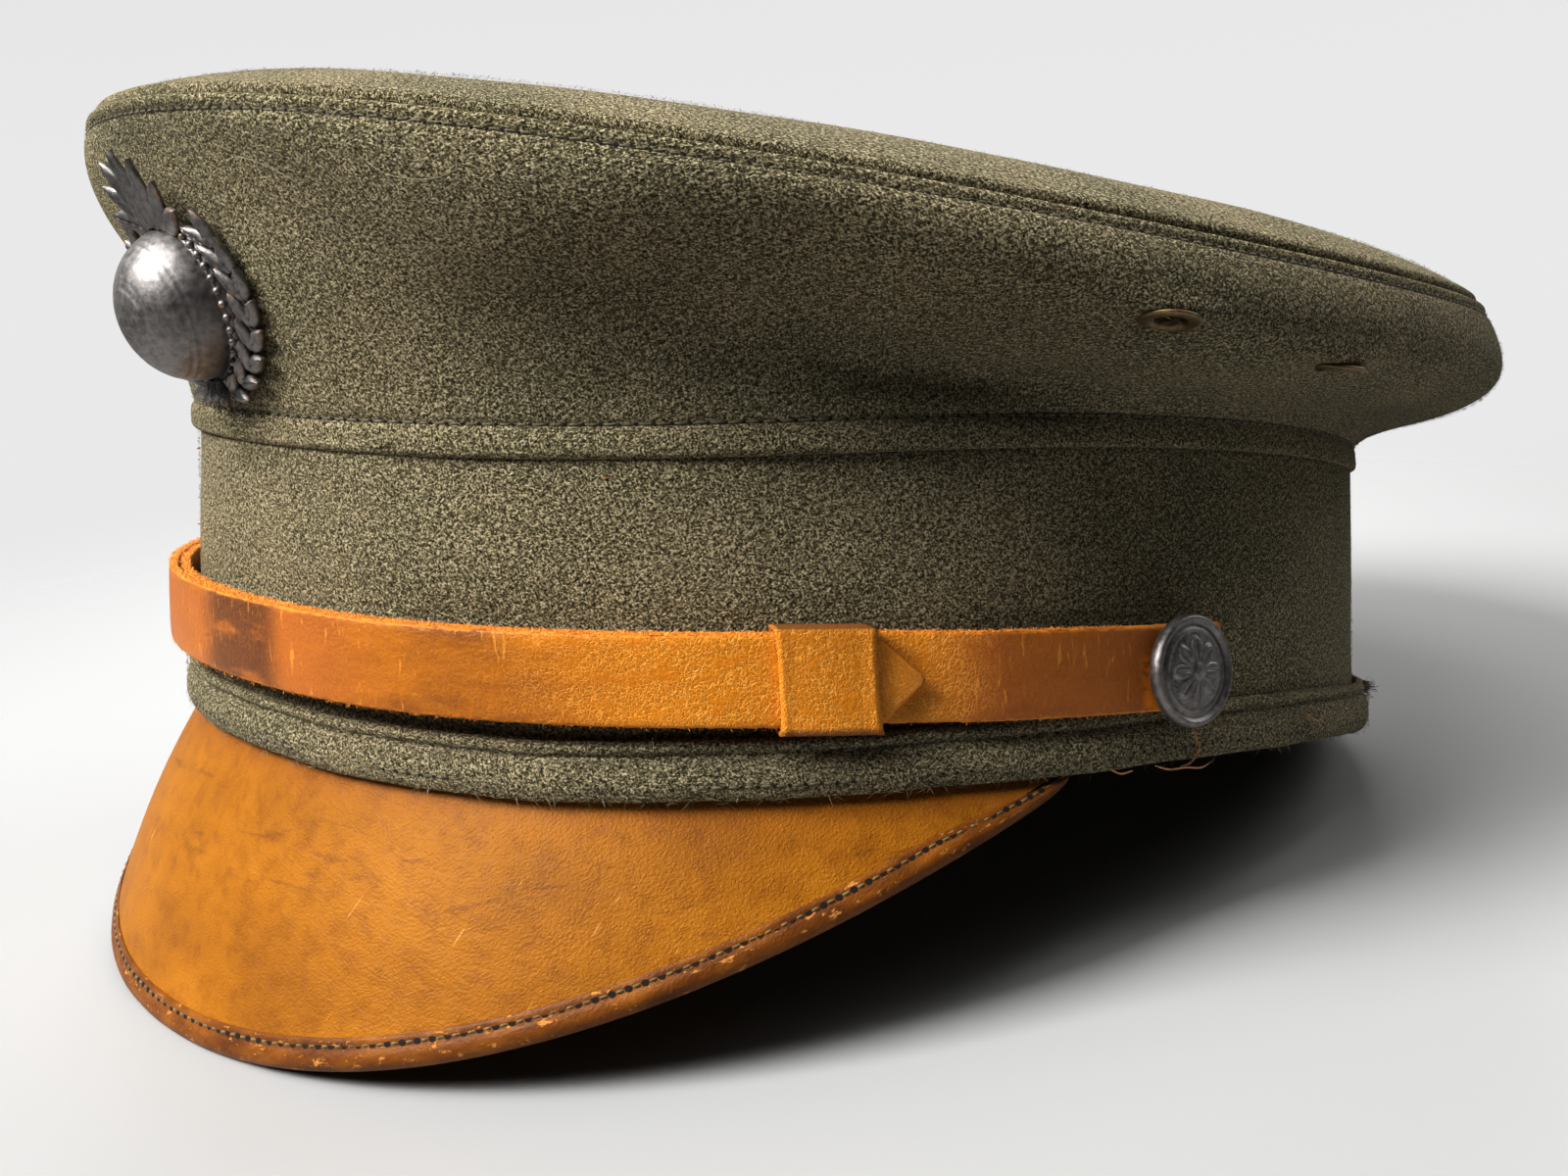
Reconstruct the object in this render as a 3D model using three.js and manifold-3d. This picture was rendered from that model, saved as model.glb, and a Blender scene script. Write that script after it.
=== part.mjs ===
// A peaked uniform cap: woollen crown and band, leather peak and chin strap, metal buttons,
// eyelets and front ornament. Millimetres, +Z up. The cap rests on its peak and its rear rim.
// Each piece is shaped in the cap's own frame, where the lower edge of the band lies level,
// and the whole cap is then tipped to the attitude in which it stands by itself.
import * as THREE from 'three';
import { mergeVertices } from 'three/addons/utils/BufferGeometryUtils.js';
import Module from 'manifold-3d';

const wasm = await Module();
wasm.setup();

// Driving dimensions. Angles around the cap run from 0 at the front to 90 at the wearer's left.
const DEGREE = Math.PI / 180;
const CLOTH = 2.0;
const LEATHER = 2.2;
const FIT_GAP = 0.3;

// Band: half lengths and half widths of its outer face.
const BAND = {
  height: 42,
  lowLength: 99.5,
  lowWidth: 85,
  topLength: 101.4,
  topWidth: 78.5,
  squareness: 2.17,
};
const BAND_TOP_SHIFT = -1.4;
// The lower and upper edges of the band rise at the sides and dip in front and at the back.
const BAND_WARP = { sides: 3.3, corners: 0.5 };

// Seam between the crown's side and its top panel.
const SEAM = { length: 118.6, width: 98.5, squareness: 2, shift: -1.0, narrowFront: 0.02 };
const SEAM_HEIGHT = { front: 82.3, rear: 70.0, sides: 71.2 };

// Crown side sections: how the wall leaves the band and how it arrives at the seam, as the two
// inner control points of a curve from the band (0, 0) to the seam, outward and upward.
const CROWN_SECTIONS = [
  { angle: 0, lowerOut: 10, lowerUp: 28, upperOut: 18, upperUp: 38 },
  { angle: 45, lowerOut: -2, lowerUp: 19, upperOut: 24, upperUp: 25 },
  { angle: 90, lowerOut: -2, lowerUp: 12, upperOut: 38, upperUp: 6 },
  { angle: 135, lowerOut: -2, lowerUp: 12, upperOut: 36, upperUp: 4 },
  { angle: 180, lowerOut: -2, lowerUp: 13, upperOut: 36, upperUp: 4 },
];
// Shallow dents of the soft crown side, half way up: place, width and depth.
const CROWN_DENTS = [
  { angle: 62, width: 22, depth: 2.2 },
  { angle: 118, width: 16, depth: 1.6 },
  { angle: 205, width: 24, depth: 2.0 },
  { angle: 300, width: 20, depth: 1.8 },
];
// Deeper hollows low on the crown side: place, width, share of the side at their middle, share
// over which they fade, and depth.
const CROWN_HOLLOWS = [
  { angle: 67, width: 12, share: 0.22, fade: 0.12, depth: 6 },
  { angle: 43, width: 8, share: 0.38, fade: 0.12, depth: 1.2 },
];
// Top panel: the padded edge swells above the seam and the middle sags a little.
const TOP = { swell: 7.6, swellPower: 9, sag: 3.5 };

// Welt roll under the band: outline of its section, outward from the band and upward.
const WELT_SECTION = [
  { out: 0.9, up: -0.9 },
  { out: 1.7, up: -1.2 },
  { out: 2.5, up: 0.2 },
  { out: 2.7, up: 2.4 },
  { out: 2.1, up: 4.1 },
  { out: 1.2, up: 4.7 },
  { out: 2.0, up: 5.1 },
  { out: 2.2, up: 5.8 },
  { out: 1.6, up: 6.4 },
  { out: 0.35, up: 6.6 },
  { out: 0.35, up: 0.3 },
];

// Peak: half angle at which its outline closes, half angle of the solid, how far its edge stands
// out and how far it drops in front.
const VISOR = {
  halfAngle: 78.2,
  solidAngle: 76.8,
  out: 13.9,
  outPower: 0.52,
  drop: 39.3,
  dropPower: 1.13,
  endDrop: 1.6,
  bow: 1.4,
  inset: 0.3,
};
const BINDING = { width: 2.9, thickness: 3.0, edgeThickness: 1.65 };

// Chin strap: two layers that overlap in front and end under a button at each side.
const STRAP = {
  width: 11.5,
  thickness: 1.4,
  height: 14.8,
  sideDrop: 2.8,
  tipAngle: 64.5,
  tipLength: 4.4,
  tipWidth: 1.4,
  pastButton: 4,
};
// The strap stands off the band where the keepers pass behind it, and lies over the welt at the
// buttons. Past the tip of the inner layer the outer one comes down into its place.
const STAND_OFF = { front: 1.5, buttons: 2.7, from: 62.3, to: 71 };
const STRAP_BULGE = { angle: -42, width: 34, distance: 0.4 };
const STEP_DOWN = { from: 2, to: 14 };
const KEEPER = { angle: 57.3, width: 12.0, wall: 0.75, clearance: 0.42 };
const BUTTON = { angle: 87, height: 11.7 };
const BUTTON_PROFILE = [
  { radius: 0, up: 0 },
  { radius: 6.7, up: 0 },
  { radius: 7.7, up: 0.9 },
  { radius: 7.4, up: 2.1 },
  { radius: 6.5, up: 2.3 },
  { radius: 6.0, up: 1.8 },
  { radius: 3.5, up: 2.9 },
  { radius: 0, up: 3.3 },
];

// Vent eyelets in each side of the crown: their places, and the section of one, from its inner
// end outward.
const EYELETS = [
  { angle: 77, share: 0.69 },
  { angle: 93, share: 0.61 },
];
const EYELET_DRILL = { radius: 2.9, length: 12 };
const EYELET_PROFILE = [
  { radius: 2.1, up: -2.5 },
  { radius: 2.6, up: -2.5 },
  { radius: 2.6, up: 0.35 },
  { radius: 4.1, up: 0.45 },
  { radius: 3.7, up: 1.1 },
  { radius: 2.4, up: 1.3 },
  { radius: 2.1, up: 0.8 },
  { radius: 2.1, up: -2.5 },
];

// The ornament in front: a lobed plate whose middle swells to a dome. Its middle is measured from
// the band up the crown's front.
const BADGE = {
  height: 36.6,
  width: 33,
  middle: 22.6,
  standOff: 0.6,
  plate: 1.8,
  lobes: 7,
  lobeDepth: 0.05,
  domeShare: 0.58,
  domeRise: 9.2,
  domeDrop: 3.6,
};
const BADGE_RINGS = [0, 0.2, 0.36, 0.48, 0.55, 0.59, 0.8, 1];

// How much of the welt's and the peak's lower edge is pressed flat where the cap rests.
const REST_FLAT = 0.5;
const REST_BLOCK_SIZE = 600;

// Faces along each piece, and shares of the top panel's radius at which it bends.
const STEPS = {
  around: 60,
  wall: 8,
  band: 2,
  peak: 44,
  peakDepth: 4,
  strap: 56,
  button: 20,
  eyelet: 12,
  badge: 28,
  front: 40,
};
const TOP_SHARES = [0, 0.25, 0.5, 0.68, 0.8, 0.88, 0.94, 1];

const COLOURS = {
  wool: 0x6b664c,
  leather: 0xb9712f,
  binding: 0x8f4f1f,
  strap: 0xb8652a,
  bronze: 0x2c2724,
  brass: 0x7a6a48,
};

// A superellipse outline. Returns the point at an angle, front at 0, left side at 90 degrees.
function oval(angle, length, width, squareness, narrowFront = 0) {
  const s = Math.sin(angle);
  const c = Math.cos(angle);
  const power = 2 / squareness;
  const x = Math.sign(s) * Math.abs(s) ** power * width * (1 - narrowFront * c);
  const y = -Math.sign(c) * Math.abs(c) ** power * length;
  return new THREE.Vector2(x, y);
}

// Outward unit direction of an outline function at an angle.
function outwardOf(outline, angle) {
  const step = 0.002;
  const before = outline(angle - step);
  const after = outline(angle + step);
  const along = after.sub(before).normalize();
  return new THREE.Vector2(along.y, -along.x);
}

function bandWarp(angle) {
  return -BAND_WARP.sides * Math.cos(2 * angle) + BAND_WARP.corners * Math.cos(4 * angle);
}

// Point on the band's outer face at a height, moved outward by a distance.
function bandPoint(angle, height, out) {
  const share = height / BAND.height;
  const length = THREE.MathUtils.lerp(BAND.lowLength, BAND.topLength, share);
  const width = THREE.MathUtils.lerp(BAND.lowWidth, BAND.topWidth, share);
  const outline = (a) => oval(a, length, width, BAND.squareness);
  const place = outline(angle);
  const outward = outwardOf(outline, angle);
  const x = place.x + outward.x * out;
  const y = place.y + outward.y * out + BAND_TOP_SHIFT * share;
  return new THREE.Vector3(x, y, height + bandWarp(angle));
}

function seamPoint(angle) {
  const place = oval(angle, SEAM.length, SEAM.width, SEAM.squareness, SEAM.narrowFront);
  const middle = (SEAM_HEIGHT.front + SEAM_HEIGHT.rear) / 2;
  const slope = (SEAM_HEIGHT.front - SEAM_HEIGHT.rear) / 2;
  const side = (middle - SEAM_HEIGHT.sides) / 2;
  const height = middle - side + slope * Math.cos(angle) + side * Math.cos(2 * angle);
  return new THREE.Vector3(place.x, place.y + SEAM.shift, height);
}

// One column of the section table at an angle, smoothly blended between the table's rows.
function sectionValue(column, angle) {
  const turned = Math.abs(THREE.MathUtils.euclideanModulo(angle / DEGREE + 180, 360) - 180);
  const spacing = CROWN_SECTIONS[1].angle;
  const place = turned / spacing;
  const low = Math.min(Math.floor(place), CROWN_SECTIONS.length - 2);
  const blend = THREE.MathUtils.smoothstep(place - low, 0, 1);
  return THREE.MathUtils.lerp(CROWN_SECTIONS[low][column], CROWN_SECTIONS[low + 1][column], blend);
}

function dentDepth(angle, share) {
  let depth = 0;
  for (const dent of CROWN_DENTS) {
    const away = THREE.MathUtils.euclideanModulo(angle / DEGREE - dent.angle + 180, 360) - 180;
    depth += dent.depth * Math.exp(-((away / dent.width) ** 2));
  }
  const inside = Math.sin(Math.PI * share);
  let hollow = 0;
  for (const place of CROWN_HOLLOWS) {
    const away = THREE.MathUtils.euclideanModulo(angle / DEGREE - place.angle + 180, 360) - 180;
    const above = (share - place.share) / place.fade;
    hollow += place.depth * Math.exp(-((away / place.width) ** 2) - above ** 2);
  }
  return depth * inside ** 2 + hollow * inside;
}

// The crown's side as a curve in the upright plane through the band's edge and the seam.
function crownCurvePoint(angle, share) {
  const foot = bandPoint(angle, BAND.height, 0);
  const head = seamPoint(angle);
  const across = new THREE.Vector3(head.x - foot.x, head.y - foot.y, 0);
  const reach = across.length();
  across.normalize();
  const rise = head.z - foot.z;
  const spare = 1 - share;
  const near = 3 * share * spare * spare;
  const far = 3 * share * share * spare;
  const end = share ** 3;
  const blend = (low, high, last) => near * low + far * high + end * last;
  const out = blend(sectionValue('lowerOut', angle), sectionValue('upperOut', angle), reach);
  const up = blend(sectionValue('lowerUp', angle), sectionValue('upperUp', angle), rise);
  const dent = dentDepth(angle, share);
  return foot.clone().addScaledVector(across, out - dent).setZ(foot.z + up);
}

// Outward normal of the crown's side.
function crownNormal(angle, share) {
  const step = 0.01;
  const along = crownCurvePoint(angle + step, share).sub(crownCurvePoint(angle - step, share));
  const low = Math.max(share - step, 0);
  const high = Math.min(share + step, 1);
  const upward = crownCurvePoint(angle, high).sub(crownCurvePoint(angle, low));
  return along.cross(upward).normalize();
}

function crownPoint(angle, share, out) {
  return crownCurvePoint(angle, share).addScaledVector(crownNormal(angle, share), out);
}

// The top panel, from its middle (0) to the seam (1).
function topSurfacePoint(angle, share) {
  const seam = seamPoint(angle);
  const middle = (SEAM_HEIGHT.front + SEAM_HEIGHT.rear) / 2;
  const swell = TOP.swell * (1 - share ** TOP.swellPower);
  const sag = TOP.sag * (1 - share * share) ** 2;
  const x = seam.x * share;
  const y = SEAM.shift + (seam.y - SEAM.shift) * share;
  const z = middle + (seam.z - middle) * share + swell - sag;
  return new THREE.Vector3(x, y, z);
}

// The panel's cut edge lies flat on the upper edge of the crown's side.
function topPoint(angle, share, out) {
  const step = 0.01;
  if (share > 0.999) {
    return crownPoint(angle, 1, out);
  }
  const here = Math.max(share, step);
  const along = topSurfacePoint(angle + step, here).sub(topSurfacePoint(angle - step, here));
  const inward = topSurfacePoint(angle, here - step).sub(topSurfacePoint(angle, Math.min(here + step, 1)));
  const normal = share < step ? new THREE.Vector3(0, 0, 1) : along.cross(inward).normalize();
  return topSurfacePoint(angle, share).addScaledVector(normal, out);
}

// Moves every vertex of a geometry and joins the vertices that coincide.
function reshape(geometry, place) {
  const position = geometry.attributes.position;
  const point = new THREE.Vector3();
  for (let i = 0; i < position.count; i += 1) {
    point.fromBufferAttribute(position, i);
    const moved = place(point);
    position.setXYZ(i, moved.x, moved.y, moved.z);
  }
  geometry.deleteAttribute('normal');
  geometry.deleteAttribute('uv');
  const merged = mergeVertices(geometry, 1e-4);
  merged.computeVertexNormals();
  return merged;
}

// A closed ring: a section of { out, up } turned round the cap, then placed by a function.
const RING_RADIUS = 100;
function ringSolid(section, place) {
  const profile = section.map((p) => new THREE.Vector2(RING_RADIUS + p.out, p.up));
  profile.push(profile[0].clone());
  const geometry = new THREE.LatheGeometry(profile, STEPS.around);
  return reshape(geometry, (p) => place(Math.atan2(p.x, p.z), Math.hypot(p.x, p.z) - RING_RADIUS, p.y));
}

// A wall section with an outer and an inner row of points between two heights.
function wallSection(steps, low, high, outer, inner) {
  const section = [];
  for (let i = 0; i <= steps; i += 1) {
    section.push({ out: outer, up: THREE.MathUtils.lerp(low, high, i / steps) });
  }
  for (let i = steps; i >= 0; i -= 1) {
    section.push({ out: inner, up: THREE.MathUtils.lerp(low, high, i / steps) });
  }
  return section;
}

function toManifold(geometry) {
  const vertProperties = new Float32Array(geometry.attributes.position.array);
  const triVerts = new Uint32Array(geometry.index.array);
  return new wasm.Manifold(new wasm.Mesh({ numProp: 3, vertProperties, triVerts }));
}

function fromManifold(solid) {
  const mesh = solid.getMesh();
  const geometry = new THREE.BufferGeometry();
  geometry.setAttribute('position', new THREE.BufferAttribute(new Float32Array(mesh.vertProperties), 3));
  geometry.setIndex(new THREE.BufferAttribute(new Uint32Array(mesh.triVerts), 1));
  geometry.computeVertexNormals();
  return geometry;
}

function bare(geometry) {
  geometry.deleteAttribute('normal');
  geometry.deleteAttribute('uv');
  return mergeVertices(geometry, 1e-4);
}

function cut(geometry, tools) {
  let solid = toManifold(geometry);
  for (const tool of tools) {
    solid = solid.subtract(toManifold(tool));
  }
  return fromManifold(solid);
}

// Edge of the peak beyond the welt, and the drop of that edge, at an angle.
function visorShape(angle) {
  const turned = Math.min(Math.abs(angle) / (VISOR.halfAngle * DEGREE), 1);
  const fullness = Math.cos((turned * Math.PI) / 2);
  const out = VISOR.out * fullness ** VISOR.outPower;
  const drop = VISOR.endDrop + (VISOR.drop - VISOR.endDrop) * fullness ** VISOR.dropPower;
  return { out, drop, length: Math.hypot(out, drop) };
}

// Point of the peak's mid surface, from its root (0) to its edge (1), with a distance outward.
function visorPoint(angle, share, out) {
  const shape = visorShape(angle);
  const bow = VISOR.bow * Math.sin(Math.PI * share) * (shape.drop / VISOR.drop);
  const lean = Math.atan2(shape.out, shape.drop);
  const root = { out: -VISOR.inset - LEATHER / 2, down: FIT_GAP + (LEATHER / 2) * Math.sin(lean) };
  const side = root.out + shape.out * share + (out + bow) * Math.cos(lean);
  const down = root.down + shape.drop * share - (out + bow) * Math.sin(lean);
  return bandPoint(angle, 0, side).add(new THREE.Vector3(0, 0, -down));
}

function visorSolid() {
  const geometry = new THREE.BoxGeometry(1, 1, 1, STEPS.peak, STEPS.peakDepth, 1);
  return reshape(geometry, (p) => {
    const angle = 2 * p.x * VISOR.solidAngle * DEGREE;
    const trim = Math.min(BINDING.width / visorShape(angle).length, 0.5);
    const share = (0.5 - p.y) * (1 - trim);
    return visorPoint(angle, share, p.z * LEATHER);
  });
}

// The binding is a rounded bar of leather along the edge of the peak.
function bindingSolid() {
  const geometry = new THREE.BoxGeometry(1, 1, 1, STEPS.peak, 2, 2);
  return reshape(geometry, (p) => {
    const angle = 2 * p.x * VISOR.solidAngle * DEGREE;
    const shape = visorShape(angle);
    const trim = Math.min(BINDING.width / shape.length, 0.5);
    const gap = FIT_GAP / shape.length;
    const share = 1 - (p.y + 0.5) * (trim - gap);
    const thickness = p.y < -0.4 ? BINDING.edgeThickness : BINDING.thickness;
    return visorPoint(angle, share, p.z * thickness);
  });
}

// How far the strap's inner face stands off the band, and the strap's height there.
function strapStandOff(angle) {
  const degrees = angle / DEGREE;
  const away = (degrees - STRAP_BULGE.angle) / STRAP_BULGE.width;
  const lifted = THREE.MathUtils.smoothstep(Math.abs(degrees), STAND_OFF.from, STAND_OFF.to);
  const base = THREE.MathUtils.lerp(STAND_OFF.front, STAND_OFF.buttons, lifted);
  return base + STRAP_BULGE.distance * Math.exp(-away * away);
}

function strapHeight(angle) {
  return STRAP.height - STRAP.sideDrop * Math.sin(angle) ** 6;
}

// How much further out a layer lies than the inner one.
function layerStep(angle, layer) {
  const past = -angle / DEGREE - STRAP.tipAngle;
  const settled = THREE.MathUtils.smoothstep(past, STEP_DOWN.from, STEP_DOWN.to);
  return layer * (STRAP.thickness + FIT_GAP) * (1 - settled);
}

// One layer of the strap between two angles. The tip narrows to a blunt point.
function strapLayer(tipAngle, endAngle, layer) {
  const geometry = new THREE.BoxGeometry(1, 1, 1, STEPS.strap, 1, 1);
  const direction = Math.sign(endAngle - tipAngle);
  const tipEnd = tipAngle + direction * STRAP.tipLength;
  return reshape(geometry, (p) => {
    const forward = direction > 0 ? p.x + 0.5 : 0.5 - p.x;
    const station = Math.round(forward * STEPS.strap);
    const body = (station - 1) / (STEPS.strap - 1);
    const degrees = station === 0 ? tipAngle : THREE.MathUtils.lerp(tipEnd, endAngle, body);
    const angle = degrees * DEGREE;
    const width = station === 0 ? STRAP.tipWidth : STRAP.width;
    const base = strapStandOff(angle) + layerStep(angle, layer);
    const out = base + (p.z + 0.5) * STRAP.thickness;
    return bandPoint(angle, strapHeight(angle) + p.y * width, out);
  });
}

// Local frame on the band: X along it to the wearer's left in front, Y up, Z outward.
function bandFrame(degrees, height, out) {
  const angle = degrees * DEGREE;
  const origin = bandPoint(angle, height, out);
  const step = 0.01;
  const along = bandPoint(angle + step, height, out).sub(bandPoint(angle - step, height, out)).normalize();
  const climb = bandPoint(angle, height + 1, out).sub(bandPoint(angle, height - 1, out));
  const outward = along.clone().cross(climb).normalize();
  const upward = outward.clone().cross(along).normalize();
  const matrix = new THREE.Matrix4().makeBasis(along, upward, outward);
  matrix.setPosition(origin);
  return matrix;
}

function crownFrame(degrees, share, out) {
  const angle = degrees * DEGREE;
  const origin = crownPoint(angle, share, out);
  const normal = crownNormal(angle, share);
  const step = 0.01;
  const along = crownPoint(angle + step, share, out).sub(crownPoint(angle - step, share, out)).normalize();
  const upward = normal.clone().cross(along).normalize();
  const matrix = new THREE.Matrix4().makeBasis(along, upward, normal);
  matrix.setPosition(origin);
  return matrix;
}

// A flat loop round both layers of the strap.
function keeperSolid(degrees) {
  const inside = strapStandOff(degrees * DEGREE);
  const depth = 2 * STRAP.thickness + FIT_GAP + 2 * KEEPER.clearance;
  const tall = STRAP.width + 2 * KEEPER.clearance;
  const outline = new THREE.Shape();
  const halfTall = tall / 2 + KEEPER.wall;
  const halfDeep = depth / 2 + KEEPER.wall;
  outline.moveTo(-halfDeep, -halfTall);
  outline.lineTo(halfDeep, -halfTall);
  outline.lineTo(halfDeep, halfTall);
  outline.lineTo(-halfDeep, halfTall);
  const gap = new THREE.Path();
  gap.moveTo(-depth / 2, -tall / 2);
  gap.lineTo(depth / 2, -tall / 2);
  gap.lineTo(depth / 2, tall / 2);
  gap.lineTo(-depth / 2, tall / 2);
  outline.holes.push(gap);
  const geometry = new THREE.ExtrudeGeometry(outline, { depth: KEEPER.width, bevelEnabled: false });
  geometry.translate(0, 0, -KEEPER.width / 2);
  geometry.rotateY(-Math.PI / 2);
  const centre = inside - KEEPER.clearance + depth / 2;
  return { geometry, centre };
}

// A piece turned from a profile of { radius, up }, with its axis along +Z.
function turnedSolid(table, steps) {
  const profile = table.map((row) => new THREE.Vector2(row.radius, row.up));
  const geometry = new THREE.LatheGeometry(profile, steps);
  geometry.rotateX(Math.PI / 2);
  return bare(geometry);
}

// Profile of a disc that runs outward on its lower face and back to the axis on its upper one.
function discProfile(radii, low, high) {
  const outward = radii.map((radius) => new THREE.Vector2(radius, low));
  const back = [...radii].reverse().map((radius) => new THREE.Vector2(radius, high));
  return [...outward, ...back];
}

// Lengths of the crown's front from the band up to even shares of it.
const frontLengths = [0];
for (let step = 1; step <= STEPS.front; step += 1) {
  const lower = crownCurvePoint(0, (step - 1) / STEPS.front);
  const upper = crownCurvePoint(0, step / STEPS.front);
  frontLengths.push(frontLengths[step - 1] + lower.distanceTo(upper));
}

// Share of the crown's side at a length up its front.
function frontShare(length) {
  let step = 1;
  while (step < STEPS.front && frontLengths[step] < length) {
    step += 1;
  }
  const low = frontLengths[step - 1];
  return (step - 1 + (length - low) / (frontLengths[step] - low)) / STEPS.front;
}

// The ornament: a wreath-like plate, bent to the crown, that swells to a dome in its middle.
function badgeSolid() {
  const profile = discProfile(BADGE_RINGS, 0, 1);
  const turnRadius = (BAND.topWidth + SEAM.width) / 2;
  return reshape(new THREE.LatheGeometry(profile, STEPS.badge), (p) => {
    const ring = Math.hypot(p.x, p.z);
    const turn = -Math.atan2(p.x, p.z);
    const wave = 1 + BADGE.lobeDepth * Math.cos(BADGE.lobes * turn) * ring;
    const sideways = (BADGE.width / 2) * wave * ring * Math.sin(turn);
    const lowered = BADGE.domeDrop * Math.min((1 - ring) / (1 - BADGE.domeShare), 1);
    const upward = (BADGE.height / 2) * wave * ring * Math.cos(turn) - lowered;
    const dome = Math.sqrt(Math.max(1 - (ring / BADGE.domeShare) ** 2, 0)) * BADGE.domeRise;
    const out = BADGE.standOff + p.y * (BADGE.plate + dome);
    return crownPoint(sideways / turnRadius, frontShare(BADGE.middle + upward), out);
  });
}

function material(colour, roughness, metalness = 0) {
  return new THREE.MeshStandardMaterial({ color: colour, roughness, metalness });
}

const wool = () => material(COLOURS.wool, 0.95);
const bronze = () => material(COLOURS.bronze, 0.45, 0.8);
const strapLeather = () => material(COLOURS.strap, 0.6);

// The attitude at rest: the line from the rear rim to the edge of the peak is level.
const visorTip = visorPoint(0, 1, 0);
const rearRim = bandPoint(Math.PI, WELT_SECTION[1].up, WELT_SECTION[1].out);
const tip = Math.atan2(rearRim.z - visorTip.z, rearRim.y - visorTip.y);

const cap = new THREE.Group();
cap.rotation.x = -tip;

function addMesh(name, geometry, meshMaterial, matrix) {
  const mesh = new THREE.Mesh(geometry, meshMaterial);
  mesh.name = name;
  if (matrix) {
    matrix.decompose(mesh.position, mesh.quaternion, mesh.scale);
  }
  cap.add(mesh);
  return mesh;
}

// The surface that the cap rests on, as a block just below it, in the cap's frame.
function restBlock() {
  const size = REST_BLOCK_SIZE;
  const turned = new THREE.Euler(tip, 0, 0);
  const geometry = bare(new THREE.BoxGeometry(size, size, size));
  const upward = new THREE.Vector3(0, 0, 1).applyEuler(turned);
  geometry.applyMatrix4(new THREE.Matrix4().makeRotationFromEuler(turned));
  const middle = upward.multiplyScalar(rearRim.dot(upward) + REST_FLAT - size / 2);
  geometry.translate(middle.x, middle.y, middle.z);
  return geometry;
}

const bandSection = wallSection(STEPS.band, 0, BAND.height, 0, -CLOTH);

addMesh('band', ringSolid(bandSection, (angle, out, up) => bandPoint(angle, up, out)), wool());

const crownSection = wallSection(STEPS.wall, 0, 1, 0, -CLOTH);
const crownSide = ringSolid(crownSection, (angle, out, share) => {
  return crownPoint(angle, share, out).add(new THREE.Vector3(0, 0, FIT_GAP));
});
const eyeletTools = [];
const eyeletFrames = [];
for (const side of [1, -1]) {
  for (const { angle, share } of EYELETS) {
    const frame = crownFrame(side * angle, share, 0);
    frame.premultiply(new THREE.Matrix4().makeTranslation(0, 0, FIT_GAP));
    const { radius, length } = EYELET_DRILL;
    const drill = bare(new THREE.CylinderGeometry(radius, radius, length, STEPS.eyelet));
    drill.rotateX(Math.PI / 2);
    drill.applyMatrix4(frame);
    eyeletTools.push(drill);
    eyeletFrames.push(frame);
  }
}
addMesh('crown_side', cut(crownSide, eyeletTools), wool());

// The top panel is turned from its middle outward and back on its underside.
const topProfile = discProfile(TOP_SHARES, -1, 0);
const topGeometry = reshape(new THREE.LatheGeometry(topProfile, STEPS.around), (p) => {
  const share = Math.hypot(p.x, p.z);
  const angle = Math.atan2(p.x, p.z);
  return topPoint(angle, share, p.y * CLOTH).add(new THREE.Vector3(0, 0, 2 * FIT_GAP));
});
addMesh('crown_top', topGeometry, wool());

const weltGeometry = ringSolid(WELT_SECTION, (angle, out, up) => bandPoint(angle, up, out));
addMesh('lower_welt', cut(weltGeometry, [restBlock()]), wool());
addMesh('visor', visorSolid(), material(COLOURS.leather, 0.5));
addMesh('visor_binding', cut(bindingSolid(), [restBlock()]), material(COLOURS.binding, 0.55));

const strapEnd = BUTTON.angle + STRAP.pastButton;
addMesh('strap_inner', strapLayer(-STRAP.tipAngle, strapEnd, 0), strapLeather());
addMesh('strap_outer', strapLayer(STRAP.tipAngle, -strapEnd, 1), strapLeather());

for (const [side, label] of [[1, 'left'], [-1, 'right']]) {
  const keeper = keeperSolid(side * KEEPER.angle);
  const keeperHeight = strapHeight(KEEPER.angle * DEGREE);
  const keeperFrame = bandFrame(side * KEEPER.angle, keeperHeight, keeper.centre);
  addMesh(`strap_keeper_${label}`, keeper.geometry, strapLeather(), keeperFrame);
  const seat = strapStandOff(side * BUTTON.angle * DEGREE) + STRAP.thickness + 2 * FIT_GAP;
  const buttonFrame = bandFrame(side * BUTTON.angle, BUTTON.height, seat);
  addMesh(`button_${label}`, turnedSolid(BUTTON_PROFILE, STEPS.button), bronze(), buttonFrame);
}

eyeletFrames.forEach((frame, index) => {
  const eyelet = turnedSolid(EYELET_PROFILE, STEPS.eyelet);
  addMesh(`vent_eyelet_${index + 1}`, eyelet, material(COLOURS.brass, 0.5, 0.7), frame);
});

addMesh('badge', badgeSolid(), bronze());

// The cap stands on the ground plane with the middle of its outer box over the origin.
const group = new THREE.Group();
group.add(cap);
group.updateMatrixWorld(true);
const box = new THREE.Box3().setFromObject(group, true);
cap.position.set(-(box.min.x + box.max.x) / 2, -(box.min.y + box.max.y) / 2, -box.min.z);

export default group;
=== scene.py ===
import math

import bmesh
import bpy
import numpy as np
from mathutils import Matrix, Vector


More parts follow.
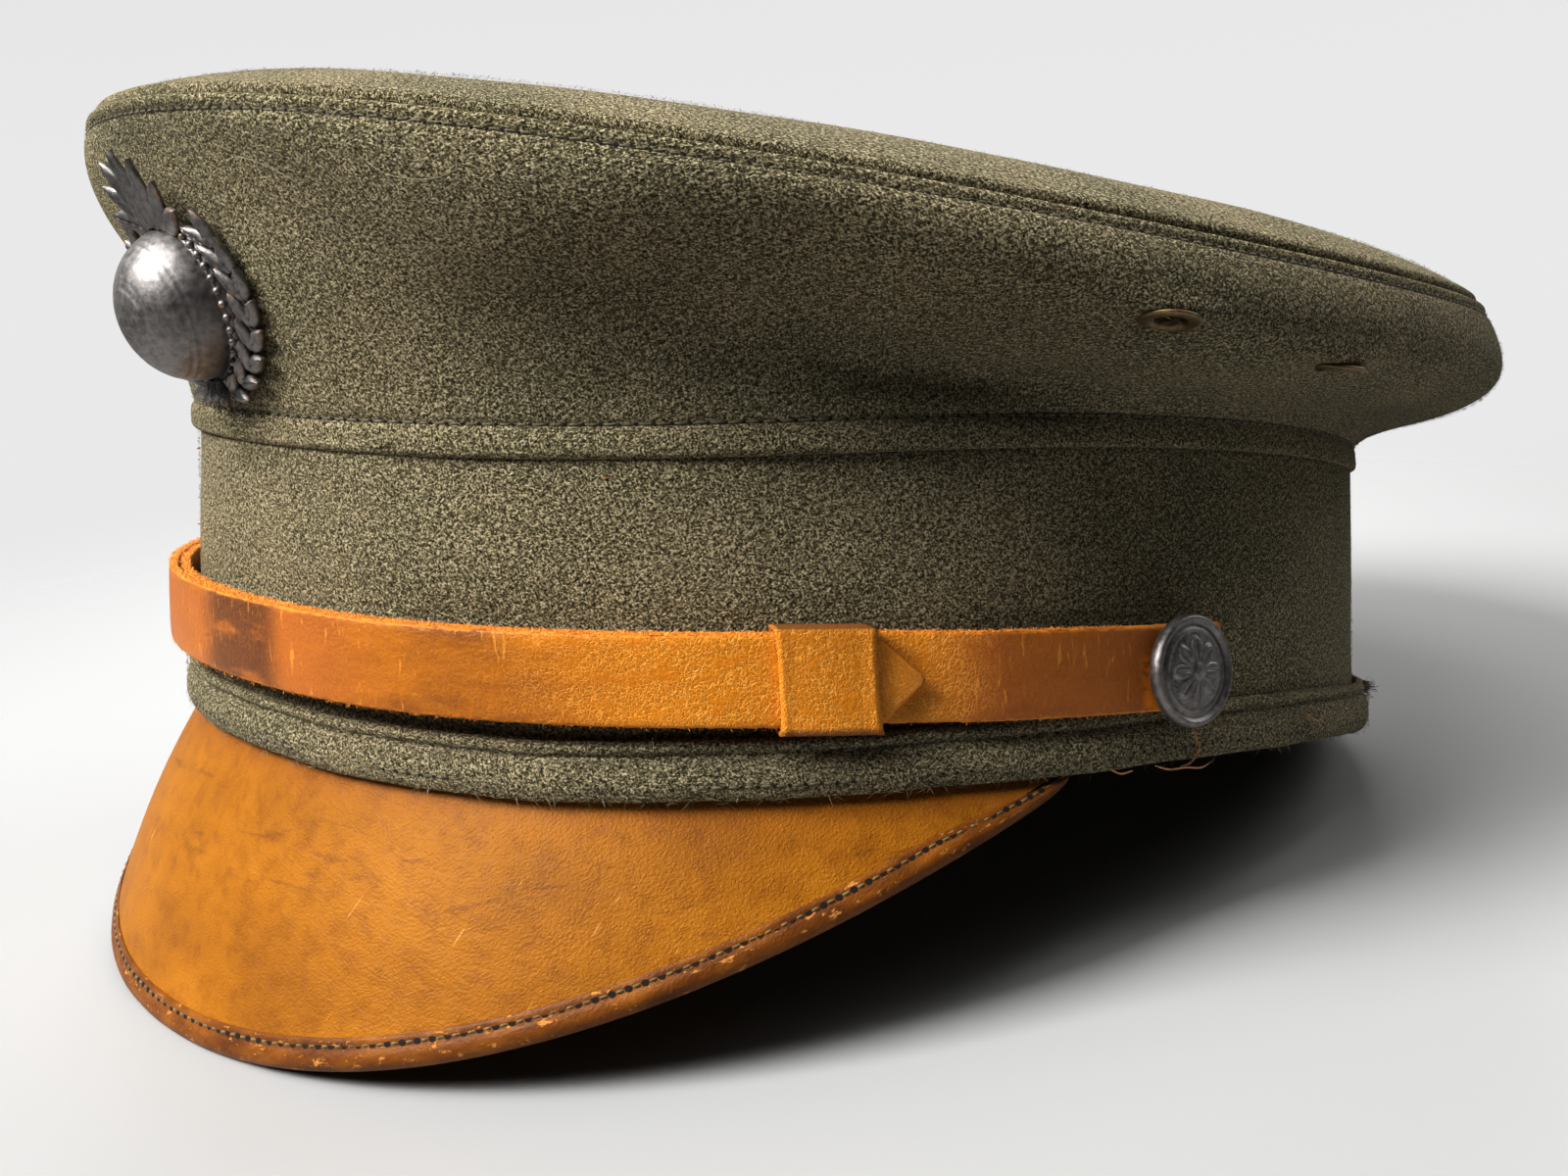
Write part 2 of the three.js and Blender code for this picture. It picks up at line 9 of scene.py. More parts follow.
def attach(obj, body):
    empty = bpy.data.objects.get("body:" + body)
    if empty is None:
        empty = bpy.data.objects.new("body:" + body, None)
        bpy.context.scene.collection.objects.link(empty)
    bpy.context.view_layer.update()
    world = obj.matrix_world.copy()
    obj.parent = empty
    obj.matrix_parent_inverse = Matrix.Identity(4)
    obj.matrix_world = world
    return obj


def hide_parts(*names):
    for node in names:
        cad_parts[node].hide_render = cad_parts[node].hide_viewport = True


# Dresses a packed peaked cap in wool, leather and bronze, and lights it.
# Shapes are worked out in millimetres in the cap's own frame, where the band's lower edge lies level.
# `to_world` tips them to the cap's attitude at rest and turns them into metres. Angles run round the
# cap from 0 at the front to 90 at the wearer's left.

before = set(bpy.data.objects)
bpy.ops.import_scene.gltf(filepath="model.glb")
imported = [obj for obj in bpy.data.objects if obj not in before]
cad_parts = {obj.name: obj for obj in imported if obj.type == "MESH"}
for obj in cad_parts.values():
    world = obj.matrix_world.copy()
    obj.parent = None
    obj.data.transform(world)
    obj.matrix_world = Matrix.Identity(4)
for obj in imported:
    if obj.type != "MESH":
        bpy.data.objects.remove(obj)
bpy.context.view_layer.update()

MM = 0.001
DEGREE = math.pi / 180
TURN = 2 * math.pi

# The cap's attitude at rest in the row frame.
CAP_TIP = 10.306346905812655
CAP_SHIFT = np.array([0.023373, -6.209069, 21.538709])

# The camera, in the row frame: millimetres and degrees. The picture is clipped in metres.
CAMERA = {
    "place": (249.320, -207.366, 111.933),
    "azimuth": 51.397,
    "elevation": 13.110,
    "roll": -4.601,
    "lens": 44.0,
    "film_width": 36.0,
    "near": 0.01,
    "far": 20.0,
}
VIEW_GAMMA = 0.8

# The solids' driving dimensions, in millimetres and degrees.
CLOTH = 2.0
LEATHER = 2.2
FIT_GAP = 0.3
FLOOR_GAP = 0.02
BAND = {
    "height": 42, "low_length": 99.5, "low_width": 85, "top_length": 101.4, "top_width": 78.5,
    "squareness": 2.17, "top_shift": -1.4, "warp_sides": 3.3, "warp_corners": 0.5,
}
SEAM = {
    "length": 118.6, "width": 98.5, "shift": -1.0, "narrow_front": 0.02,
    "front": 82.3, "rear": 70.0, "sides": 71.2,
}
# Columns: angle, lower out, lower up, upper out, upper up.
CROWN_SECTIONS = np.array([
    (0, 10, 28, 18, 38),
    (45, -2, 19, 24, 25),
    (90, -2, 12, 38, 6),
    (135, -2, 12, 36, 4),
    (180, -2, 13, 36, 4),
])
# Columns: angle, width, depth.
CROWN_DENTS = [(62, 22, 2.2), (118, 16, 1.6), (205, 24, 2.0), (300, 20, 1.8)]
# Columns: angle, width, share of the side, share over which it fades, depth.
CROWN_HOLLOWS = [(67, 12, 0.22, 0.12, 6), (43, 8, 0.38, 0.12, 1.2)]
TOP = {"swell": 7.6, "power": 9, "sag": 3.5}
VISOR = {
    "half": 78.2, "solid": 76.8, "out": 13.9, "out_power": 0.52, "drop": 39.3,
    "drop_power": 1.13, "end_drop": 1.6, "bow": 1.4, "inset": 0.3,
}
STRAP = {
    "width": 11.5, "thickness": 1.4, "height": 14.8, "side_drop": 2.8, "tip": 64.5,
    "tip_length": 3.5, "end": 91,
}
# The strap's distance from the band in front and at the buttons, and where it grows.
STAND_OFF = {"front": 1.5, "buttons": 2.7, "from": 62.3, "to": 71}
STRAP_BULGE = {"angle": -42, "width": 34, "distance": 0.4}
# Degrees past the inner layer's tip over which the outer layer comes down into its place.
STEP_DOWN = (2, 14)
KEEPER = {"angle": 57.1, "width": 12.0, "wall": 0.6, "clearance": 0.2, "degrees_per_mm": 0.62}
BUTTON = {"angle": 87, "height": 11.7}
# Columns: angle, share of the crown's side.
EYELETS = [(77, 0.69), (93, 0.61)]
# Height of the ornament's middle, along the crown's front.
BADGE_MIDDLE = 22.6

# Outline of the welt's section: outward from the band, and upward.
WELT_SECTION = [
    (0.9, -0.9), (1.7, -1.2), (2.5, 0.2), (2.7, 2.4), (2.1, 4.1), (1.2, 4.7),
    (2.0, 5.1), (2.2, 5.8), (1.6, 6.4), (0.35, 6.6), (0.35, 0.3),
]


# Shapes shared with the solids


def smoothstep(value, low, high):
    """From 0 at `low` to 1 at `high`, level at both."""
    t = np.clip((value - low) / (high - low), 0, 1)
    return t * t * (3 - 2 * t)


def unit(vectors):
    """The vectors at length 1."""
    return vectors / np.maximum(np.linalg.norm(vectors, axis=-1, keepdims=True), 1e-9)


def lengths_along(points, axis):
    """Running length along one axis of a grid of points, starting from 0."""
    steps = np.linalg.norm(np.diff(points, axis=axis), axis=-1)
    start = np.zeros_like(np.take(steps, [0], axis=axis))
    return np.concatenate([start, np.cumsum(steps, axis=axis)], axis=axis)


def spread(*values):
    """Arrays of one shape."""
    return np.broadcast_arrays(*(np.asarray(value, float) for value in values))


def oval(angle, length, width, squareness, narrow=0.0):
    """Place on a rounded outline of half a length and half a width, narrowed in front."""
    s, c = np.sin(angle), np.cos(angle)
    power = 2 / squareness
    x = np.sign(s) * np.abs(s) ** power * width * (1 - narrow * c)
    y = -np.sign(c) * np.abs(c) ** power * length
    return np.stack([x, y], -1)


def band_warp(angle):
    """How far the band's edges rise and fall round the head."""
    return -BAND["warp_sides"] * np.cos(2 * angle) + BAND["warp_corners"] * np.cos(4 * angle)


def band_point(angle, height, out):
    """Point on the band's outer face at a height, moved outward by a distance."""
    angle, height, out = spread(angle, height, out)
    share = height / BAND["height"]
    length = BAND["low_length"] + (BAND["top_length"] - BAND["low_length"]) * share
    width = BAND["low_width"] + (BAND["top_width"] - BAND["low_width"]) * share
    step = 0.002
    before = oval(angle - step, length, width, BAND["squareness"])
    after = oval(angle + step, length, width, BAND["squareness"])
    along = unit(after - before)
    place = oval(angle, length, width, BAND["squareness"])
    x = place[..., 0] + along[..., 1] * out
    y = place[..., 1] - along[..., 0] * out + BAND["top_shift"] * share
    return np.stack([x, y, height + band_warp(angle)], -1)


def seam_point(angle):
    """Point on the seam between the crown's side and its top."""
    place = oval(angle, SEAM["length"], SEAM["width"], 2, SEAM["narrow_front"])
    middle = (SEAM["front"] + SEAM["rear"]) / 2
    slope = (SEAM["front"] - SEAM["rear"]) / 2
    side = (middle - SEAM["sides"]) / 2
    height = middle - side + slope * np.cos(angle) + side * np.cos(2 * angle)
    return np.stack([place[..., 0], place[..., 1] + SEAM["shift"], height], -1)


def section_value(column, angle):
    """One of the crown's section values, blended between the angles at which it is given."""
    turned = np.abs((angle / DEGREE + 180) % 360 - 180)
    place = turned / CROWN_SECTIONS[1, 0]
    low = np.minimum(place.astype(int), len(CROWN_SECTIONS) - 2)
    blend = smoothstep(place - low, 0, 1)
    rows = CROWN_SECTIONS[:, column]
    return rows[low] + (rows[low + 1] - rows[low]) * blend


def dent_depth(angle, share):
    """How far the crown's side is pushed in, by wide dents and by small hollows."""
    total = 0
    for place, width, deep in CROWN_DENTS:
        away = (angle / DEGREE - place + 180) % 360 - 180
        total = total + deep * np.exp(-((away / width) ** 2))
    inside = np.sin(np.pi * share)
    hollow = 0
    for place, width, middle, fade, deep in CROWN_HOLLOWS:
        away = (angle / DEGREE - place + 180) % 360 - 180
        hollow = hollow + deep * np.exp(-((away / width) ** 2) - ((share - middle) / fade) ** 2)
    return total * inside**2 + hollow * inside


def crown_curve(angle, share):
    """Point of the crown's side before its thickness, on a curve from the band to the seam."""
    angle, share = spread(angle, share)
    foot = band_point(angle, BAND["height"], 0)
    across = (seam_point(angle) - foot)[..., :2]
    reach = np.linalg.norm(across, axis=-1)
    rise = seam_point(angle)[..., 2] - foot[..., 2]
    spare = 1 - share
    near, far, end = 3 * share * spare**2, 3 * share**2 * spare, share**3
    out = near * section_value(1, angle) + far * section_value(3, angle) + end * reach
    up = near * section_value(2, angle) + far * section_value(4, angle) + end * rise
    level = foot[..., :2] + unit(across) * (out - dent_depth(angle, share))[..., None]
    return np.concatenate([level, (foot[..., 2] + up)[..., None]], -1)


def crown_point(angle, share, out):
    """Point of the crown's side, from the band (share 0) to the top seam (1)."""
    angle, share, out = spread(angle, share, out)
    step = 0.01
    along = crown_curve(angle + step, share) - crown_curve(angle - step, share)
    above, below = np.minimum(share + step, 1), np.maximum(share - step, 0)
    upward = crown_curve(angle, above) - crown_curve(angle, below)
    normal = unit(np.cross(along, upward))
    return crown_curve(angle, share) + normal * out[..., None] + np.array([0, 0, FIT_GAP])


def top_surface(angle, share):
    """Point of the top panel before its thickness: padded at its edge, sagging in the middle."""
    seam = seam_point(angle)
    middle = (SEAM["front"] + SEAM["rear"]) / 2
    swell = TOP["swell"] * (1 - share ** TOP["power"])
    sag = TOP["sag"] * (1 - share * share) ** 2
    x = seam[..., 0] * share
    y = SEAM["shift"] + (seam[..., 1] - SEAM["shift"]) * share
    z = middle + (seam[..., 2] - middle) * share + swell - sag
    return np.stack([x, y, z], -1)


def top_point(angle, share, out):
    """Point of the top panel, from its middle (share 0) to the seam (1)."""
    angle, share, out = spread(angle, share, out)
    step = 0.01
    here = np.clip(share, step, 1 - step)
    along = top_surface(angle + step, here) - top_surface(angle - step, here)
    inward = top_surface(angle, here - step) - top_surface(angle, here + step)
    normal = unit(np.cross(along, inward))
    return top_surface(angle, share) + normal * out[..., None] + np.array([0, 0, 2 * FIT_GAP])


def visor_shape(angle):
    """How far the peak reaches outward and down from its root, and its length along the slope."""
    turned = np.minimum(np.abs(angle) / (VISOR["half"] * DEGREE), 1)
    fullness = np.maximum(np.cos(turned * np.pi / 2), 1e-6)
    out = VISOR["out"] * fullness ** VISOR["out_power"]
    drop = VISOR["end_drop"] + (VISOR["drop"] - VISOR["end_drop"]) * fullness ** VISOR["drop_power"]
    return out, drop, np.hypot(out, drop)


def visor_point(angle, share, out):
    """Point of the peak's mid surface, from its root (share 0) to its edge (1)."""
    angle, share, out = spread(angle, share, out)
    reach, drop, _ = visor_shape(angle)
    bow = VISOR["bow"] * np.sin(np.pi * np.clip(share, 0, 1)) * (drop / VISOR["drop"])
    lean = np.arctan2(reach, drop)
    side = -VISOR["inset"] - LEATHER / 2 + reach * share + (out + bow) * np.cos(lean)
    down = FIT_GAP + (LEATHER / 2) * np.sin(lean) + drop * share - (out + bow) * np.sin(lean)
    return band_point(angle, 0, side) - np.stack([0 * down, 0 * down, down], -1)


def strap_stand_off(angle):
    """Gap between band and strap, larger at the buttons and where the strap bulges."""
    degrees = angle / DEGREE
    away = (degrees - STRAP_BULGE["angle"]) / STRAP_BULGE["width"]
    lifted = smoothstep(np.abs(degrees), STAND_OFF["from"], STAND_OFF["to"])
    base = STAND_OFF["front"] + (STAND_OFF["buttons"] - STAND_OFF["front"]) * lifted
    return base + STRAP_BULGE["distance"] * np.exp(-away * away)


def strap_height(angle):
    """Height of the strap's centre line over the band's lower edge."""
    return STRAP["height"] - STRAP["side_drop"] * np.sin(angle) ** 6


def layer_step(angle, layer):
    """How far the outer layer lies outside the inner one, which ends at its tip."""
    settled = smoothstep(-angle / DEGREE - STRAP["tip"], *STEP_DOWN)
    return layer * (STRAP["thickness"] + FIT_GAP) * (1 - settled)


def strap_point(angle, across, out):
    """Point beside the strap's centre line, with a distance outward from the band."""
    return band_point(angle, strap_height(angle) + across, out)


# Shares and running lengths up the middle of the crown's front.
FRONT_SHARES = np.linspace(0, 1, 41)
FRONT_LENGTHS = lengths_along(crown_curve(0, FRONT_SHARES), 0)


def badge_point(sideways, upward, out):
    """Point of the ornament, bent to the crown's front."""
    turn_radius = (BAND["top_width"] + SEAM["width"]) / 2
    share = np.interp(BADGE_MIDDLE + upward, FRONT_LENGTHS, FRONT_SHARES)
    return crown_point(sideways / turn_radius, share, out)


# Mesh making


def to_world(points):
    """From millimetres in the cap's frame to metres in the row frame, pressed flat on the floor."""
    tip = -CAP_TIP * DEGREE
    turn = np.array([[1, 0, 0], [0, math.cos(tip), -math.sin(tip)], [0, math.sin(tip), math.cos(tip)]])
    placed = points @ turn.T + CAP_SHIFT
    placed[..., 2] = np.maximum(placed[..., 2], FLOOR_GAP)
    return placed * MM


def make_mesh(name, vertices, faces, uv=None, attributes=None):
    """A mesh from world-frame vertices. `uv` holds one pair for each corner of each face."""
    mesh = bpy.data.meshes.new(name)
    mesh.from_pydata(vertices.tolist(), [], faces.tolist() if hasattr(faces, "tolist") else faces)
    if uv is not None:
        layer = mesh.uv_layers.new(name="UVMap")
        layer.data.foreach_set("uv", np.asarray(uv, np.float32).ravel())
    for key, values in (attributes or {}).items():
        made = mesh.attributes.new(key, "FLOAT", "POINT")
        made.data.foreach_set("value", np.asarray(values, np.float32).ravel())
    mesh.update()
    return mesh


def paired(along, across):
    """Texture coordinates from a running length along a grid's columns and one across its rows."""
    return np.stack(np.broadcast_arrays(along, across), -1)


def ring_uv(points):
    """Texture coordinates in millimetres of a ring: along its middle row, and up each column."""
    middle = points[len(points) // 3]
    return paired(lengths_along(middle[None], 1), lengths_along(points, 0))


def disc_uv(points):
    """Texture coordinates in millimetres of a disc whose rows run from its middle outward."""
    turn = around(points.shape[1] - 1)
    reach = lengths_along(points, 0)
    return np.stack([reach * np.sin(turn), reach * -np.cos(turn)], -1)


def quad_corners(rows, columns):
    """Row and column of the four corners of each quad, for so many rows and columns of quads."""
    r, c = np.meshgrid(np.arange(rows), np.arange(columns), indexing="ij")
    return [(r, c), (r, c + 1), (r + 1, c + 1), (r + 1, c)]


def quad_faces(corners, rows, columns):
    """Vertex numbers of the corners. Past the last row or column they start again at the first."""
    return np.stack([(r % rows) * columns + c % columns for r, c in corners], -1).reshape(-1, 4)


def grid_mesh(name, points, uv=None, closed_rows=False, closed_columns=False, attributes=None):
    """A mesh from a grid of points in the cap's frame. A closed direction repeats its first line."""
    rows, columns = points.shape[:2]
    if uv is None:
        uv = ring_uv(points)
    kept = np.s_[: rows - closed_rows, : columns - closed_columns]
    body = points[kept]
    corners = quad_corners(rows - 1, columns - 1)
    faces = quad_faces(corners, *body.shape[:2])
    face_uv = np.stack([uv[r, c] for r, c in corners], -2).reshape(-1, 2)
    values = {key: table[kept] for key, table in (attributes or {}).items()}
    return make_mesh(name, to_world(body.reshape(-1, 3)), faces, face_uv, values)


def face_outward(mesh):
    """Turns the faces of a closed mesh outward."""
    work = bmesh.new()
    work.from_mesh(mesh)
    bmesh.ops.recalc_face_normals(work, faces=work.faces)
    work.to_mesh(mesh)
    work.free()


def add_piece(name, mesh, material, slot, replaces=(), outward=True):
    """A visible piece that rides the cap's one body and may replace solids."""
    if outward:
        face_outward(mesh)
    mesh.shade_smooth()
    piece = bpy.data.objects.new(name, mesh)
    bpy.context.scene.collection.objects.link(piece)
    mesh.materials.append(material)
    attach(piece, "root")
    if replaces:
        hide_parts(*replaces)
    return piece


def add_grid(name, points, material, slot, replaces, **mesh_settings):
    """A piece from a grid of points."""
    return add_piece(name, grid_mesh(name, points, **mesh_settings), material, slot, replaces)


def around(columns):
    """Angles once round the cap. The first and last lie together at the back."""
    return np.linspace(-np.pi, np.pi, columns + 1)


def closed(line):
    """A line of points, or a grid's rows, that ends where it starts."""
    return np.concatenate([line, line[:1]])


def rounded(points, times=2):
    """Cuts the corners of a closed outline."""
    points = np.asarray(points, float)
    for _ in range(times):
        following = np.roll(points, -1, axis=0)
        points = np.stack([points * 0.75 + following * 0.25, points * 0.25 + following * 0.75], 1)
        points = points.reshape(-1, 2)
    return points


def frame_at(place, angle, out, step=0.01):
    """Origin, and unit vectors along, up and outward, of a surface place(angle, up, out)."""
    origin = place(angle, 0.0, out)
    along = unit(place(angle + step, 0.0, out) - place(angle - step, 0.0, out))
    outward = unit(np.cross(along, place(angle, 1.0, out) - place(angle, -1.0, out)))
    return origin, along, unit(np.cross(outward, along)), outward


def waves(angle, up, table):
    """Gentle unevenness. Columns: waves round the cap, waves upward in 100 mm, phase, height."""
    total = 0
    for turns, climbs, phase, height in table:
        total = total + height * np.sin(turns * angle + climbs * up * TURN / 100 + phase)
    return total


class SewnLine:
    """Stations at an even pitch along a line, with directions outward, along and across it."""

    def __init__(self, points, normals, pitch, is_loop):
        self.points = points
        self.normals = normals
        self.length = lengths_along(points, 0)
        self.count = int(self.length[-1] // pitch)
        self.pitch = self.length[-1] / self.count if is_loop else pitch
        self.is_loop = is_loop

    def at(self, values, where):
        return np.stack([np.interp(where, self.length, values[:, axis]) for axis in range(3)], -1)

    def frames(self, stations, step=0.05):
        centre = self.at(self.points, stations)
        outward = unit(self.at(self.normals, stations))
        along = unit(self.at(self.points, stations + step) - self.at(self.points, stations - step))
        return centre, outward, along, np.cross(along, outward)


def stitch_row(name, line, gap, radius, lift, material, slot):
    """Short threads along a line. Each dives into the cloth at both of its ends."""
    rings, sides = 6, 6
    starts = np.arange(line.count) * line.pitch + gap / 2
    shares = np.linspace(0, 1, rings)
    centre, outward, _, across = line.frames(starts[:, None] + shares * (line.pitch - gap))
    rise = lift - radius * 1.6 * np.abs(2 * shares - 1) ** 3
    centre = centre + outward * rise[None, :, None]
    turn = np.arange(sides)[:, None] * TURN / sides
    ring = across[:, :, None] * np.cos(turn) + outward[:, :, None] * np.sin(turn)
    vertices = centre[:, :, None] + ring * radius
    one = quad_faces(quad_corners(rings - 1, sides), rings, sides)
    faces = (np.arange(line.count)[:, None, None] * rings * sides + one).reshape(-1, 4)
    return add_piece(name, make_mesh(name, to_world(vertices.reshape(-1, 3)), faces), material, slot)


def hole_shade_row(name, line, radius, lift, slot):
    """Painted shade of needle holes: dark discs between the threads of a stitch row, a little longer than
    wide.
    """
    sides = 8
    stations = np.arange(line.count + (not line.is_loop)) * line.pitch
    centre, outward, along, across = line.frames(stations)
    turn = np.arange(sides)[:, None] * TURN / sides
    ring = along[:, None] * np.cos(turn) * radius * 1.25 + across[:, None] * np.sin(turn) * radius
    vertices = (centre + outward * lift)[:, None] + ring
    faces = (np.arange(len(stations))[:, None] * sides + np.arange(sides)).tolist()
    mesh = make_mesh(name, to_world(vertices.reshape(-1, 3)), faces)
    return add_piece(name, mesh, NEEDLE_HOLE_SHADE, slot, outward=False)


def fibre_piece(name, surface, seed, material, slot, length, lift, width):
    """Loose fibres: narrow bent ribbons that leave the surface, each with a tone of its own."""
    roots, normals, tangents = surface
    rng = np.random.default_rng(seed)
    count = len(roots)
    turn = rng.uniform(0, TURN, count)
    side = np.cross(normals, tangents)
    heading = unit(tangents * np.cos(turn)[:, None] * 1.5 + side * np.sin(turn)[:, None])
    bend = unit(np.cross(normals, heading)) * rng.normal(0, 0.35, count)[:, None]
    long = length * rng.uniform(0.5, 1.5, count)[:, None]
    high = lift * rng.uniform(0.2, 1.0, count)[:, None] ** 2
    across = unit(np.cross(normals, heading)) * (width * rng.uniform(0.6, 1.3, count)[:, None] / 2)
    middle = roots + (heading * 0.5 + bend * 0.4) * long + normals * high * 1.1
    end = roots + (heading + bend) * long + normals * high * rng.uniform(0.2, 1.6, count)[:, None]
    base = roots - normals * 0.05
    vertices = np.stack([base - across, base + across, middle - across, middle + across, end], 1)
    index = np.arange(count)[:, None] * 5
    faces = (index + np.array([0, 1, 3, 2])).tolist() + (index + np.array([2, 3, 4])).tolist()
    tone = np.repeat(rng.uniform(0, 1, count), 5)
    mesh = make_mesh(name, to_world(vertices.reshape(-1, 3)), faces, attributes={"tone": tone})
    return add_piece(name, mesh, material, slot, outward=False)


def sample_surface(place, angles, ups, out):
    """Roots, normals and tangents on a surface place(angle, up, out)."""
    roots = place(angles, ups, out)
    normals = unit(place(angles, ups, out + 0.5) - roots)
    tangents = unit(place(angles + 0.004, ups, out) - roots)
    return roots, normals, tangents


def tube_mesh(name, path, radius, sides):
    """A closed tube round a path in the cap's frame. `radius` may vary along it."""
    path = np.asarray(path, float)
    radius = np.broadcast_to(np.asarray(radius, float), len(path))
    along = unit(np.gradient(path, axis=0))
    guide = np.array([0.2, 0.3, 0.93])
    side = unit(np.cross(along, guide))
    up = np.cross(side, along)
    turn = np.linspace(0, TURN, sides + 1)
    ring = side[:, None] * np.cos(turn)[:, None] + up[:, None] * np.sin(turn)[:, None]
    points = path[:, None] + ring * radius[:, None, None]
    start, end = (np.repeat(path[[place]], sides + 1, 0)[None] for place in (0, -1))
    return grid_mesh(name, np.concatenate([start, points, end]), closed_columns=True)


# Materials


class Value:
    """A number or colour in a material's node tree. Arithmetic on it adds Math nodes."""

    def __init__(self, socket, maths):
        self.socket = socket
        self.maths = maths

    def __add__(self, other):
        return self.maths("ADD", self, other)

    def __sub__(self, other):
        return self.maths("SUBTRACT", self, other)

    def __mul__(self, other):
        return self.maths("MULTIPLY", self, other)

    def __abs__(self):
        return self.maths("ABSOLUTE", self)

    def times_plus(self, factor, addend):
        return self.maths("MULTIPLY_ADD", self, factor, addend)

    def greater(self, other):
        return self.maths("MAXIMUM", self, other)


class Look:
    """A material in the making: its node tree, its shader and the nodes that feed it.

    Even values go straight to the shader's own sockets. Lengths in patterns are millimetres.
    """

    def __init__(self, name, **even_values):
        self.material = bpy.data.materials.new(name)
        self.material.use_nodes = True
        self.tree = self.material.node_tree
        self.shader = self.tree.nodes["Principled BSDF"]
        for key, value in even_values.items():
            self.shader.inputs[key.replace("_", " ")].default_value = value

    def feed(self, socket, value):
        value = value.socket if isinstance(value, Value) else value
        if isinstance(value, bpy.types.NodeSocket):
            self.tree.links.new(value, socket)
        else:
            socket.default_value = value

    def node(self, kind, inputs=None, **settings):
        made = self.tree.nodes.new(kind)
        for key, value in settings.items():
            setattr(made, key, value)
        for socket, value in (inputs or {}).items():
            self.feed(made.inputs[socket], value)
        return made

    def value(self, made, output=0):
        return Value(made.outputs[output], self.maths)

    def maths(self, operation, *numbers):
        return self.value(self.node("ShaderNodeMath", dict(enumerate(numbers)), operation=operation))

    def surface_place(self):
        """Place on the surface, in millimetres along it and across it."""
        return self.node("ShaderNodeUVMap", uv_map="UVMap").outputs["UV"]

    def object_place(self):
        return self.node("ShaderNodeTexCoord").outputs["Object"]

    def attribute(self, name):
        return self.value(self.node("ShaderNodeAttribute", attribute_name=name), "Fac")

    def split(self, place):
        parts = self.node("ShaderNodeSeparateXYZ", {"Vector": place})
        return [self.value(parts, axis) for axis in "XYZ"]

    def mapped(self, place, scale, turn=0.0, shift=(0, 0)):
        inputs = {"Vector": place, "Rotation": (0, 0, turn * DEGREE), "Location": (*shift, 0)}
        turned = self.node("ShaderNodeMapping", inputs).outputs[0]
        return self.node("ShaderNodeMapping", {"Vector": turned, "Scale": (*scale, 1)}).outputs[0]

    def noise(self, place, detail=3.0, rough=0.55, bend=0.0, fine=1.0):
        inputs = {"Vector": place, "Scale": fine, "Detail": detail, "Roughness": rough, "Distortion": bend}
        return self.value(self.node("ShaderNodeTexNoise", inputs), "Fac")

    def pattern(self, place, scale, turn=0.0, shift=(0, 0), **settings):
        """Noise on a surface, with `scale` swells to the millimetre along it and across it."""
        return self.noise(self.mapped(place, scale, turn, shift), **settings)

    def leather_cells(self, place, size):
        """Distance to the nearest furrow between the cells of smooth leather."""
        wobble = self.pattern(place, (0.5 / size, 0.5 / size), detail=2.0) * (size * 1.6)
        offset = self.node("ShaderNodeCombineXYZ", {"X": wobble, "Y": wobble}).outputs[0]
        shifted = self.node("ShaderNodeVectorMath", {0: place, 1: offset}, operation="ADD").outputs[0]
        inputs = {"Vector": self.mapped(shifted, (1 / size, 1 / size)), "Scale": 1.0}
        return self.value(self.node("ShaderNodeTexVoronoi", inputs, feature="DISTANCE_TO_EDGE"), "Distance")

    def stretch(self, value, low, high, to_low=0.0, to_high=1.0):
        inputs = {"Value": value, "From Min": low, "From Max": high, "To Min": to_low, "To Max": to_high}
        return self.value(self.node("ShaderNodeMapRange", inputs, interpolation_type="SMOOTHSTEP"))

    def ramp(self, value, stops):
        made = self.node("ShaderNodeValToRGB", {"Fac": value})
        elements = made.color_ramp.elements
        while len(elements) < len(stops):
            elements.new(0.5)
        for element, (place, colour) in zip(elements, stops):
            element.position = place
            element.color = (*colour, 1)
        return self.value(made, "Color")

    def mix(self, factor, under, over, kind="MIX"):
        made = self.node("ShaderNodeMix", data_type="RGBA", blend_type=kind)
        sockets = {socket.name: socket for socket in made.inputs if socket.enabled}
        for key, value in (("Factor", factor), ("A", under), ("B", over)):
            self.feed(sockets[key], (*value, 1) if isinstance(value, tuple) else value)
        return Value(next(socket for socket in made.outputs if socket.enabled), self.maths)

    def finish(self, colour=None, rough=None, relief=None, depth=0.0, strength=1.0):
        """Feeds the shader: colour, roughness, and bumps of a depth in millimetres."""
        if relief is not None:
            inputs = {"Height": relief, "Distance": depth * MM, "Strength": strength}
            relief = self.node("ShaderNodeBump", inputs).outputs["Normal"]
        for key, value in (("Base Color", colour), ("Roughness", rough), ("Normal", relief)):
            if value is not None:
                self.feed(self.shader.inputs[key], value)
        return self.material


